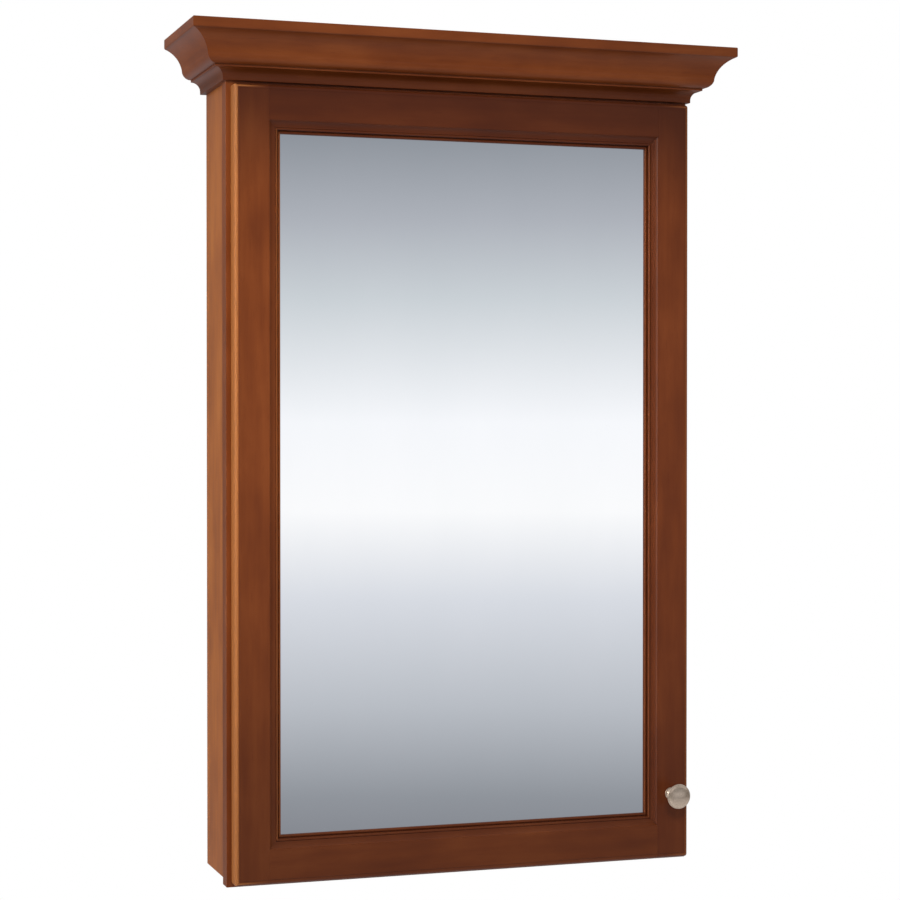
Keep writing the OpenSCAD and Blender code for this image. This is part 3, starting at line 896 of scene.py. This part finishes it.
@dataclass
class Crown:
    """Crown moulding: a front run and two returns, mitred.

    Attributes:
        shop: where the pieces go.
        band: height of the upright top band.
        cove, ovolo, foot_cove: radii of the three curves, from the top.
        shoulder: inset of the ovolo's lower end.
        foot: inset of the bottom edge.
        back: where the sloping back starts on top.
        slope: drop at which it ends.
        height: from the top to the bottom edge.
        depth: from the front to the face frame.
        seam: half the hairline at a mitre.
        crease_glaze_and_shade, under: dark glaze and painted shade in the creases, and painted shade on the
            foot cove under the ovolo.
    """

    shop: Workshop
    band: float = 10.5 * MM
    cove: float = 30.7 * MM
    ovolo: float = 10.4 * MM
    foot_cove: float = 10.1 * MM
    shoulder: float = 30.6 * MM
    foot: float = 41.3 * MM
    height: float = 60.7 * MM
    back: float = 14.0 * MM
    slope: float = 34.5 * MM
    depth: float = 46.0 * MM
    seam: float = 0.05 * MM
    crease_glaze_and_shade: float = 0.6
    under: float = 0.74

    def face(self) -> list[Point2]:
        """Inset and height below the top of the visible face, from the top edge down."""
        band, knee = self.band, self.band + 23.9 * MM
        upper = arc((-10 * MM, -(band + 29.5 * MM)), self.cove, 69.2, 10.6, 22)
        round_ = arc((self.shoulder, -knee), self.ovolo, 180, 270, 12)
        lower = arc((31.2 * MM, -(self.height - 3.3 * MM)), self.foot_cove, 90, 0, 12)
        ease = 0.5 * MM
        top = [(ease * 2, 0.0), (ease, -0.13 * MM), (0.13 * MM, -ease), (0.0, -2 * ease)]
        edge = [(0.0, -band + ease), (0.25 * MM, -band - 0.1 * MM)]
        fillet = [(self.shoulder, -band - 36.7 * MM), (self.shoulder + 0.15 * MM, -band - 36.8 * MM)]
        foot = [(self.foot, -self.height + ease), (self.foot + 0.4 * MM, -self.height)]
        return top + edge + upper + round_ + fillet + lower + foot

    def creases(self) -> list[Point2]:
        """Where glaze and painted shade gather."""
        return [
            (1.2 * MM, -self.band - 1.7 * MM),
            (self.shoulder, -self.band - 34.9 * MM),
            (self.shoulder + 1.4 * MM, -self.band - 37.7 * MM),
        ]

    def glaze(self, spot: Point2) -> float:
        """Glaze and painted shade at an inset and drop."""
        near = (math.dist(spot, crease) / (1.6 * MM) for crease in self.creases())
        quirk = max(math.exp(-distance * distance) for distance in near)
        # Painted shade on the foot cove, which lies under the ovolo.
        below = min(max((-spot[1] - self.band - 35 * MM) / (6 * MM), 0.0), 1.0)
        return max(quirk * self.crease_glaze_and_shade, below * self.under)

    def build(self) -> None:
        """Run the front and both returns."""
        low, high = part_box("crown_front")
        half, front, top = high[0], -low[1], high[2]
        face = self.face()

        def section(back: float) -> list[Point2]:
            """The closed section for one place of its back."""
            return face + [(back, -self.height), (back, -self.slope), (self.back, 0.0)]

        bm = bmesh.new()
        run = section(self.depth)
        ends = [
            [Vector((side * (half - u - self.seam), -front + u, top + v)) for u, v in run] for side in (-1, 1)
        ]
        loft(bm, ends, closed=False)
        self.finish("crown_front_run", bm, Grain.ACROSS, "crown_front", lambda p: (p.y + front, p.z - top))
        frame_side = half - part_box("face_frame_right_stile")[1][0]
        panel_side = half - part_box("right_side_panel")[1][0]
        carcass = -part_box("right_side_panel")[0][1]
        stops = [
            (None, frame_side),
            (-carcass - 0.01 * MM, frame_side),
            (-carcass, panel_side),
            (0.0, panel_side),
        ]
        for side, node in ((-1, "crown_left_return"), (1, "crown_right_return")):
            bm = bmesh.new()
            stations = [
                [
                    Vector((side * (half - u), -front + u + self.seam if stop is None else stop, top + v))
                    for u, v in section(back)
                ]
                for stop, back in stops
            ]
            loft(bm, stations, closed=False)
            inset = lambda p, s=side: (half - s * p.x, p.z - top)  # noqa: E731
            self.finish(node + "_run", bm, Grain.FRONT_TO_BACK, node, inset)

    def finish(
        self,
        name: str,
        bm: bmesh.types.BMesh,
        grain: Grain,
        node: str,
        flatten: Callable[[Vector], Point2],
    ) -> None:
        """Paint glaze and shade on one run and place it; flatten turns a point into its inset and drop."""
        mesh = weighted(new_mesh(name, bm, 35.0))
        paint_glaze_shade_and_highlight(mesh, lambda point: self.glaze(flatten(point)))
        self.shop.place(name, mesh, Body.CABINET, STAINED[grain], node)


@dataclass
class DoorFrame:
    """Stiles and rails with a mitred moulding around the mirror.

    Attributes:
        shop: where the pieces go.
        flat: width of a bar's flat.
        bar: width of a bar with its moulding.
        thick: thickness.
        lip: thickness of the moulding at the mirror.
        rabbet: width of the rabbet behind it.
        corner: plan radius of the door's four corners.
        cup_inset: hinge cup's centre from the door's edge.
        cup_radius, cup_deep: its hole.
        seam: half the hairline at a joint.
        moulding_glaze_and_shade, crease_glaze_and_shade: dark glaze and painted shade on the moulding and in
        its quirks.
        edge_highlight, bead_highlight: painted highlight on a stile's edge and on its beads; -1 is the
            strongest.
    """

    shop: Workshop
    flat: float = 38.6 * MM
    bar: float = 53.0 * MM
    thick: float = 19.0 * MM
    lip: float = 9.5 * MM
    rabbet: float = 8.0 * MM
    corner: float = 3.0 * MM
    cup_inset: float = 22.5 * MM
    cup_radius: float = 17.5 * MM
    cup_deep: float = 12.5 * MM
    seam: float = 0.04 * MM
    moulding_glaze_and_shade: float = 0.42
    crease_glaze_and_shade: float = 0.75
    edge_highlight: float = -1.0
    bead_highlight: float = -0.4

    def section(self) -> list[Point2]:
        """Closed section: distance from the door's edge, and depth behind its face."""
        flat, bar, mm = self.flat, self.bar, MM
        points = [(0.6 * mm, self.thick), (0.0, self.thick - 0.6 * mm)]
        points += arc((4.5 * mm, 5.0 * mm), 4.5 * mm, 180, 270, 12)
        points += [(5.6 * mm, 0.5 * mm), (5.6 * mm, 0.12 * mm), (5.75 * mm, 0.0)]
        points += [(flat - 0.15 * mm, 0.0), (flat, 0.1 * mm), (flat, 0.4 * mm), (flat + 0.55 * mm, 0.4 * mm)]
        points += arc((flat + 7.7 * mm, -4.2 * mm), 8.46 * mm, 147, 90.7, 14)
        points += arc((flat + 9.0 * mm, 5.6 * mm), 1.5 * mm, 201, 360, 14)
        points += [(flat + 10.5 * mm, 8.4 * mm), (flat + 11.3 * mm, 8.4 * mm)]
        points += arc((flat + 12.8 * mm, 8.4 * mm), 1.5 * mm, 180, 360, 14)
        points += [(bar, 8.5 * mm), (bar, self.lip)]
        points += [(bar - self.rabbet, self.lip), (bar - self.rabbet, self.thick)]
        return points

    def glaze(self, inset: float, depth: float, painted_highlight: bool) -> float:
        """Glaze and painted shade at an inset and depth; bars that take a painted highlight are lightened on
        their edge and beads.
        """
        quirks = (
            (self.flat + 7.7 * MM, 5.0 * MM, 0.9),
            (self.flat + 10.9 * MM, 8.4 * MM, 0.8),
            (5.5 * MM, 0.6 * MM, 0.5),
        )
        crests = ((self.flat + 9.6 * MM, 4.25 * MM), (self.flat + 13.4 * MM, 7.0 * MM))
        edge, inner = 2.6 * MM, 4.8 * MM
        # Painted highlight on the stile's outer edge and roundover.
        if painted_highlight and depth > 0.3 * MM and inset < inner:
            return self.edge_highlight * min((inner - inset) / (inner - edge), 1.0)
        # Painted highlight on the bead crests.
        if painted_highlight and min(math.dist((inset, depth), crest) for crest in crests) < 0.65 * MM:
            return self.bead_highlight
        # Dark glaze and painted shade in the quirks and across the moulding.
        near = (math.hypot(inset - u, depth - v) / (reach * MM) for u, v, reach in quirks)
        ramp = min(max((inset - self.flat - 0.4 * MM) / (1.2 * MM), 0.0), 1.0)
        return max(self.moulding_glaze_and_shade * ramp, *(self.crease_glaze_and_shade * math.exp(-distance * distance) for distance in near))

    def frame_mesh(self, low: Vector, high: Vector) -> bpy.types.Mesh:
        """The whole frame as one ring, its moulding mitred by the corners themselves."""
        bm = bmesh.new()
        steps = 6
        stations: list[list[Vector]] = []
        for quarter, (sx, sz) in enumerate(((1, 1), (-1, 1), (-1, -1), (1, -1))):
            for k in range(steps + 1):
                angle = math.radians(90 * quarter + 90 * k / steps)
                ring = []
                for inset, depth in self.section():
                    radius = max(self.corner - inset, 0.0)
                    reach = max(self.corner, inset)
                    centre_x = (high.x if sx > 0 else low.x) - sx * reach
                    centre_z = (high.z if sz > 0 else low.z) - sz * reach
                    ring.append(
                        Vector(
                            (
                                centre_x + radius * math.cos(angle),
                                low.y + depth,
                                centre_z + radius * math.sin(angle),
                            )
                        )
                    )
                stations.append(ring)
        loft(bm, stations, closed=True)
        return new_mesh("door_ring", bm, 30.0)

    def bar_outline(self, low: Vector, high: Vector, stile: bool) -> list[Point2]:
        """Front outline of the left stile or the bottom rail, to the far side of its moulding."""
        gap, flat, deep, out = self.seam, self.flat, self.bar + 0.5 * MM, 1 * MM
        if stile:
            left = [(-out, -out), (flat - gap, -out), (flat - gap, flat + gap), (deep - gap, deep + gap)]
            upper = [(u, high.z - low.z - w) for u, w in reversed(left)]
            return [(low.x + u, low.z + w) for u, w in left + upper]
        near = [(flat + gap, -out), (flat + gap, flat - gap), (deep + gap, deep - gap)]
        far = [(high.x - low.x - u, w) for u, w in reversed(near)]
        return [(low.x + u, low.z + w) for u, w in near + far]

    def cutter(self, outline: Sequence[Point2], low: Vector, high: Vector) -> bpy.types.Object:
        """A block through the door over an outline."""
        bm = bmesh.new()
        reach = 5 * MM
        prism(
            bm,
            outline,
            lambda corner, end: Vector((corner[0], low.y - reach if end else high.y + reach, corner[1])),
        )
        return loose_object("cutter", new_mesh("cutter", bm))

    def boolean(self, mesh: bpy.types.Mesh, tool: bpy.types.Object, operation: str) -> bpy.types.Mesh:
        """Cut a mesh with a tool, and drop the tool."""
        obj = loose_object("blank", mesh)
        modifier = obj.modifiers.new("cut", "BOOLEAN")
        modifier.operation, modifier.object, modifier.solver = operation, tool, "EXACT"
        made = evaluated(obj)
        bpy.data.objects.remove(tool)
        return made

    def build(self) -> None:
        """Cut the ring into its four bars, bore the hinge cups and place them."""
        stile_low, stile_high = (Vector(corner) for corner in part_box("door_left_stile"))
        low, high = stile_low, Vector((-stile_low.x, stile_high.y, stile_high.z))
        # The right stile and the top rail take the darker copy of the stain: painted shade.
        bars = (
            ("door_left_stile", True, False, DOOR[Grain.UPRIGHT]),
            ("door_right_stile", True, True, SHADED[Grain.UPRIGHT]),
            ("door_bottom_rail", False, False, DOOR[Grain.ACROSS]),
            ("door_top_rail", False, True, SHADED[Grain.ACROSS]),
        )
        for node, stile, flip, finish in bars:
            outline = self.bar_outline(low, high, stile)
            if flip and stile:
                outline = [(-x, z) for x, z in outline]
            elif flip:
                outline = [(x, low.z + high.z - z) for x, z in outline]
            mesh = self.boolean(self.frame_mesh(low, high), self.cutter(outline, low, high), "INTERSECT")
            if node == "door_left_stile":
                for cup in ("upper_hinge_cup", "lower_hinge_cup"):
                    mesh = self.boolean(mesh, self.cup_bore(cup, low, high), "DIFFERENCE")
            bm = bmesh.new()
            bm.from_mesh(mesh)
            mesh = weighted(new_mesh(node + "_bar", bm, 30.0))
            paint_glaze_shade_and_highlight(mesh, lambda point: self.level(point, low, high, stile))
            self.shop.place(node + "_bar", mesh, Body.DOOR, finish, node)

    def cup_bore(self, cup: str, low: Vector, high: Vector) -> bpy.types.Object:
        """A cutter for the round pocket of a hinge cup."""
        cup_low, cup_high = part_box(cup)
        middle = (cup_low[2] + cup_high[2]) / 2
        bm = bmesh.new()
        base = Matrix.Translation((low.x + self.cup_inset, high.y - self.cup_deep, middle))
        base = base @ Matrix.Rotation(math.radians(-90), 4, "X")
        radius, length = self.cup_radius, self.cup_deep + 3 * MM
        turned(bm, [(radius, 0.0), (radius, length)], 64, base)
        return loose_object("cup_bore", new_mesh("cup_bore", bm))

    def level(self, point: Vector, low: Vector, high: Vector, painted_highlight: bool) -> float:
        """Glaze, painted shade and painted highlight at a point of a bar, from its distance to the door's
        nearest edge.

        Args:
            point: the point.
            low, high: the door's corners.
            painted_highlight: whether the bar's outer edge and beads get a painted highlight.

        Returns:
            The level for paint_glaze_shade_and_highlight.
        """
        aside = min(point.x - low.x, high.x - point.x)
        inset = min(aside, point.z - low.z, high.z - point.z)
        return self.glaze(inset, point.y - low.y, painted_highlight and aside <= inset + 1 * MM)


@dataclass
class MirrorPanel:
    """Mirror, backing board, stop strips and their plates.

    Attributes:
        shop: where the pieces go.
        arris: rubbed edge of the glass.
        end_inset: height of the outer plates' screws from the door's ends.
        row_inset: the same for the ends of the row that the inner plates divide in three.
        edge: from a plate's outer side to its screw.
        offset: from a plate's middle to its screw.
    """

    shop: Workshop
    arris: float = 0.5 * MM
    end_inset: float = 150 * MM
    row_inset: float = 100 * MM
    edge: float = 4.5 * MM
    offset: float = 2.5 * MM

    def spots(self) -> list[tuple[Vector, Vector]]:
        """Screw places of the eight plates on the back of the door, and the way they face."""
        low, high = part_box("retainer_clips")
        door_low, door_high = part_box("door_left_stile")
        reach = high[0] - self.edge
        bottom, top = door_low[2] + self.end_inset, door_high[2] - self.end_inset
        row = door_low[2] + self.row_inset
        step = (door_high[2] - self.row_inset - row) / 3
        heights = (bottom, row + step, row + 2 * step, top)
        back = Vector((0, 1, 0))
        return [(Vector((side * reach, low[1], z)), back) for side in (-1, 1) for z in heights]

    def build(self, screws: PartTree, clips: PartTree) -> None:
        """Bed the glass and fix it."""
        self.shop.ease_board("mirror_glass", Body.DOOR, MIRROR, self.arris)
        self.shop.ease_board("mirror_backing", Body.DOOR, BACKING, 0.3 * MM)
        self.shop.ease_board("mirror_stop_strips", Body.DOOR, STRIP, 0.3 * MM)
        spots = self.spots()
        bm = bmesh.new()
        for name, half, offset in (
            ("left_plates", spots[:4], self.offset),
            ("right_plates", spots[4:], -self.offset),
        ):
            bm.from_mesh(clips.run(name, half, STEEL, Offset=offset))
        mesh = new_mesh("retainer_plates", bm)
        self.shop.place("retainer_plates", mesh, Body.DOOR, STEEL, "retainer_clips")
        seats = [(place + way * 1 * MM, way) for place, way in spots]
        mesh = screws.run(
            "plate_screws",
            seats,
            STEEL,
            Head_Radius=2.8 * MM,
            Shank_Radius=1.3 * MM,
            Shank_Length=7.5 * MM,
            Seed=5,
        )
        self.shop.place("plate_screws", mesh, Body.DOOR, STEEL, "retainer_screws")


@dataclass
class Knob:
    """Turned knob with a flared neck, a rolled rim and a shallow domed cap.

    Attributes:
        shop: where the pieces go.
        cap: radius of the cap.
        out: how far it stands out of the door.
        neck: radius of the neck at its thinnest.
        base: radius of the foot.
    """

    shop: Workshop
    cap: float = 14.3 * MM
    out: float = 27.5 * MM
    neck: float = 4.45 * MM
    base: float = 7.0 * MM

    def profile(self) -> list[Point2]:
        """Radius and height, from the foot to the crown of the cap."""
        mm, out, cap = MM, self.out, self.cap
        base, neck, under = self.base, self.neck, out - 6.6 * mm
        points = [(base - 0.2 * mm, 0.0), (base, 0.2 * mm), (base, 1.2 * mm), (base - 0.2 * mm, 1.4 * mm)]
        low, high = base - neck - 0.2 * mm, 5.4 * mm
        points += arc((neck + low, 1.4 * mm + low), low, 260, 180, 7)
        points += arc((neck + high, under - high), high, 180, 95, 9)
        points += [(cap - 3.6 * mm, out - 6.4 * mm), (cap - 1.6 * mm, out - 5.9 * mm)]
        points += [(cap - 0.5 * mm, out - 5.2 * mm), (cap, out - 4.3 * mm), (cap, out - 3.7 * mm)]
        points += [(cap - 0.3 * mm, out - 3.1 * mm), (cap - 0.95 * mm, out - 2.75 * mm)]
        points += [(cap - 1.35 * mm, out - 2.85 * mm), (cap - 1.75 * mm, out - 2.65 * mm)]
        for k in range(1, 12):
            r = (cap - 1.75 * mm) * (1 - k / 11.5)
            points.append((r, out - 40 * mm + math.sqrt((40 * mm) ** 2 - r * r)))
        return points

    def build(self, screws: PartTree) -> None:
        """Turn the knob and drive its screw."""
        low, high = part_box("knob")
        centre = Vector(((low[0] + high[0]) / 2, high[1], (low[2] + high[2]) / 2))
        base = Matrix.Translation(centre) @ Matrix.Rotation(math.radians(90), 4, "X")
        bm = bmesh.new()
        turned(bm, self.profile(), 72, base)
        self.shop.place("knob_turned", new_mesh("knob_turned", bm, 45.0), Body.DOOR, NICKEL, "knob")
        screw_low, screw_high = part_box("knob_screw")
        seat = Vector((centre.x, screw_high[1] - 2.6 * MM + 0.2 * MM, centre.z))
        mesh = screws.run(
            "knob_bolt",
            [(seat, Vector((0, 1, 0)))],
            STEEL,
            Head_Radius=4.2 * MM,
            Head_Height=2.2 * MM,
            Shank_Radius=1.95 * MM,
            Shank_Length=float(seat.y - screw_low[1]),
            Seed=2,
        )
        self.shop.place("knob_bolt", mesh, Body.DOOR, STEEL, "knob_screw")


@dataclass
class Hinges:
    """Two concealed hinges: arm, cranked link and cup, with pins and screws.

    Attributes:
        shop: where the pieces go.
        arm_plate: thickness of the arm's plate, under its screws.
        arm_step: from a hinge's middle to the arm's screws.
        flange: thickness of the cup's flange, under its screws.
        cup_step: from a hinge's middle to the cup's screws.
        cup_line: from the door's edge to the cup's screws.
    """

    shop: Workshop
    arm_plate: float = 2.0 * MM
    arm_step: float = 12 * MM
    flange: float = 1.2 * MM
    cup_step: float = 22.5 * MM
    cup_line: float = 32 * MM

    def build(self, screws: PartTree) -> None:
        """Ease the pressings and drive the screws."""
        for level in ("upper", "lower"):
            self.shop.ease_board(f"{level}_hinge_arm", Body.CABINET, STEEL, 0.25 * MM, 5 * MM)
            self.shop.dress(f"{level}_hinge_link", STEEL)
            self.shop.dress(f"{level}_hinge_cup", STEEL)
        for pins in ("hinge_arm_pins", "hinge_cup_pins"):
            self.shop.dress(pins, NICKEL)
        frame_low, frame_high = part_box("face_frame_left_stile")
        plate, depth = frame_high[0] + self.arm_plate, (frame_low[1] + frame_high[1]) / 2
        cup_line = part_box("door_left_stile")[0][0] + self.cup_line
        arm_seats, cup_seats = [], []
        for level in ("upper", "lower"):
            arm_low, arm_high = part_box(f"{level}_hinge_arm")
            middle = (arm_low[2] + arm_high[2]) / 2
            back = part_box(f"{level}_hinge_cup")[1][1] - self.flange
            for side in (-1, 1):
                arm = Vector((plate, depth, middle + side * self.arm_step))
                cup = Vector((cup_line, back, middle + side * self.cup_step))
                arm_seats.append((arm, Vector((1, 0, 0))))
                cup_seats.append((cup, Vector((0, 1, 0))))
        mesh = screws.run(
            "arm_screws",
            arm_seats,
            STEEL,
            Head_Radius=3.4 * MM,
            Head_Height=1.8 * MM,
            Shank_Length=17.5 * MM,
            Seed=7,
        )
        self.shop.place("arm_screws", mesh, Body.CABINET, STEEL, "hinge_arm_screws")
        mesh = screws.run("cup_screws", cup_seats, STEEL, Head_Radius=3.2 * MM, Head_Height=1.1 * MM, Seed=9)
        self.shop.place("cup_screws", mesh, Body.DOOR, STEEL, "hinge_cup_screws")


@dataclass
class Shelves:
    """Two loose shelves on pins.

    Attributes:
        shop: where the pieces go.
        inside: half width between the side panels.
        front, back: where the pins stand.
    """

    shop: Workshop
    inside: float = 256 * MM
    front: float = -75 * MM
    back: float = -30 * MM

    def build(self, pins: PartTree) -> None:
        """Dress the boards and set their pins."""
        self.shop.ease_board("upper_shelf", Body.UPPER_SHELF, PALE[Grain.ACROSS], 1.0 * MM)
        self.shop.ease_board("lower_shelf", Body.LOWER_SHELF, PALE[Grain.ACROSS], 1.0 * MM)
        spots = []
        for shelf in ("upper_shelf", "lower_shelf"):
            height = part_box(shelf)[0][2] - 2.5 * MM
            for side in (-1, 1):
                for depth in (self.front, self.back):
                    spots.append((Vector((side * self.inside, depth, height)), Vector((-side, 0, 0))))
        mesh = pins.run("shelf_pins_turned", spots, NICKEL)
        self.shop.place("shelf_pins_turned", mesh, Body.CABINET, NICKEL, "shelf_pins")


# ---------------------------------------------------------------- studio
@dataclass
class Studio:
    """Pale floor, soft lights, surroundings and camera.

    Attributes:
        floor_height: the floor under a cabinet that hangs at eye level.
        floor_radius: how far the floor reaches.
        eye: the camera.
        gaze: the way it looks.
        lens: focal length in millimetres on a 36 mm frame.
    """

    floor_height: float = -1.45
    floor_radius: float = 4.0
    eye: tuple[float, float, float] = (-0.8085, -2.481, 0.0381)
    gaze: tuple[float, float, float] = (0.3174, 0.9482, -0.01245)
    lens: float = 88.08

    def build(self) -> None:
        """Set the studio up."""
        self.surroundings()
        self.floor()
        self.soft_box("window", (-3.1, -0.75, 0.45), (0.9, 2.2), 35.0, 180.0, True)
        self.soft_box("front", (-0.6, -2.2, 1.2), (0.6, 0.6), 1.4, 30.0, False)
        self.soft_box("rear", (1.8, 2.6, 1.8), (1.8, 1.8), 40.0, 180.0, False)
        self.camera()

    def surroundings(self) -> None:
        """White all round; the front half is a softly graded screen that the mirror shows."""
        world = bpy.data.worlds.new("studio")
        world.use_nodes = True
        bpy.context.scene.world = world
        graph = Graph(world.node_tree)
        way = Value(graph, graph.add("ShaderNodeTexCoord").outputs["Generated"])
        parts = graph.add("ShaderNodeSeparateXYZ", None, {0: way})
        height = Value(graph, parts.outputs[2]) * 1.25 + 0.5
        grade = graph.ramp(
            height,
            (0.00, (0.16, 0.16, 0.17, 1)),
            (0.22, (0.16, 0.16, 0.17, 1)),
            (0.27, tint(138, 141, 148)),
            (0.29, tint(148, 152, 159)),
            (0.34, tint(190, 194, 201)),
            (0.40, tint(222, 225, 232)),
            (0.45, (1.02, 1.02, 1.03, 1)),
            (0.50, (0.98, 0.99, 1.02, 1)),
            (0.57, tint(208, 214, 219)),
            (0.615, tint(178, 182, 190)),
            (0.66, tint(148, 153, 161)),
            (0.74, (0.18, 0.18, 0.19, 1)),
            (1.00, (0.45, 0.45, 0.45, 1)),
        )
        dim = graph.ramp(
            height,
            (0.06, (0.70, 0.74, 0.82, 1)),
            (0.16, (0.42, 0.43, 0.45, 1)),
            (0.24, (0.24, 0.23, 0.22, 1)),
            (0.66, (0.24, 0.23, 0.22, 1)),
            (1.0, (0.7, 0.7, 0.72, 1)),
        )
        front = graph.span(Value(graph, parts.outputs[1]), -0.45, -0.05, 1.0, 0.0)
        aside = Value(graph, parts.outputs[0])
        front = front * graph.span(aside, -0.12, 0.12) * graph.span(aside, 0.5, 0.75, 1.0, 0.0)
        around = graph.mixed(front, dim, grade)
        seen = Value(graph, graph.add("ShaderNodeLightPath").outputs["Is Camera Ray"])
        colour = graph.mixed(seen, around, (1, 1, 1, 1))
        back = graph.add("ShaderNodeBackground", None, {"Color": colour, "Strength": 1.0})
        graph.add("ShaderNodeOutputWorld", None, {"Surface": back.outputs[0]})

    def floor(self) -> None:
        """A plain round floor well below the cabinet."""
        bm = bmesh.new()
        bmesh.ops.create_circle(bm, cap_ends=True, segments=96, radius=self.floor_radius)
        bmesh.ops.translate(bm, verts=bm.verts[:], vec=(0, 0, self.floor_height))
        mesh = bpy.data.meshes.new("studio_floor")
        bm.to_mesh(mesh)
        bm.free()
        paint = bpy.data.materials.new("floor_paint")
        paint.use_nodes = True
        shader = paint.node_tree.nodes["Principled BSDF"]
        shader.inputs["Base Color"].default_value = (0.86, 0.86, 0.86, 1)
        shader.inputs["Roughness"].default_value = 0.8
        mesh.materials.append(paint)
        floor = loose_object("studio_floor", mesh)
        floor.visible_diffuse = False

    def soft_box(
        self,
        name: str,
        place: tuple[float, float, float],
        size: tuple[float, float],
        power: float,
        spread: float,
        glints: bool,
    ) -> None:
        """A rectangular light that faces the cabinet.

        Args:
            name: its name.
            place: its middle.
            size: its width and height.
            power: watts.
            spread: how far it spreads, in degrees; a grid on the box makes it less.
            glints: whether glossy surfaces show it.
        """
        data = bpy.data.lights.new(name, "AREA")
        data.shape, data.energy, data.spread = "RECTANGLE", power, math.radians(spread)
        data.size, data.size_y = size
        light = bpy.data.objects.new(name, data)
        light.visible_glossy, light.visible_camera = glints, False
        light.location = place
        light.rotation_euler = Vector(place).to_track_quat("Z", "Y").to_euler()
        bpy.context.collection.objects.link(light)

    def camera(self) -> None:
        """The camera, a little left of the cabinet and level with it."""
        data = bpy.data.cameras.new("camera")
        data.lens, data.sensor_width = self.lens, 36.0
        camera = bpy.data.objects.new("camera", data)
        camera.location = self.eye
        camera.rotation_euler = Vector(self.gaze).to_track_quat("-Z", "Y").to_euler()
        bpy.context.collection.objects.link(camera)
        bpy.context.scene.camera = camera
        bpy.context.scene.view_settings.view_transform = "Standard"


def main() -> None:
    """Build every sub-assembly in order."""
    logging.basicConfig(level=logging.INFO, format="%(name)s: %(message)s")
    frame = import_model()
    shop = Workshop(frame["nodes"])
    screws, clips, pins = screw_tree(), clip_tree(), pin_tree()
    Carcass(shop).build()
    Crown(shop).build()
    DoorFrame(shop).build()
    MirrorPanel(shop).build(screws, clips)
    Knob(shop).build(screws)
    Hinges(shop).build(screws)
    Shelves(shop).build(pins)
    shop.dress("door_bumpers", RUBBER)
    Studio().build()
    log.info("placed %d pieces", shop.count)


if __name__ == "__main__":
    main()
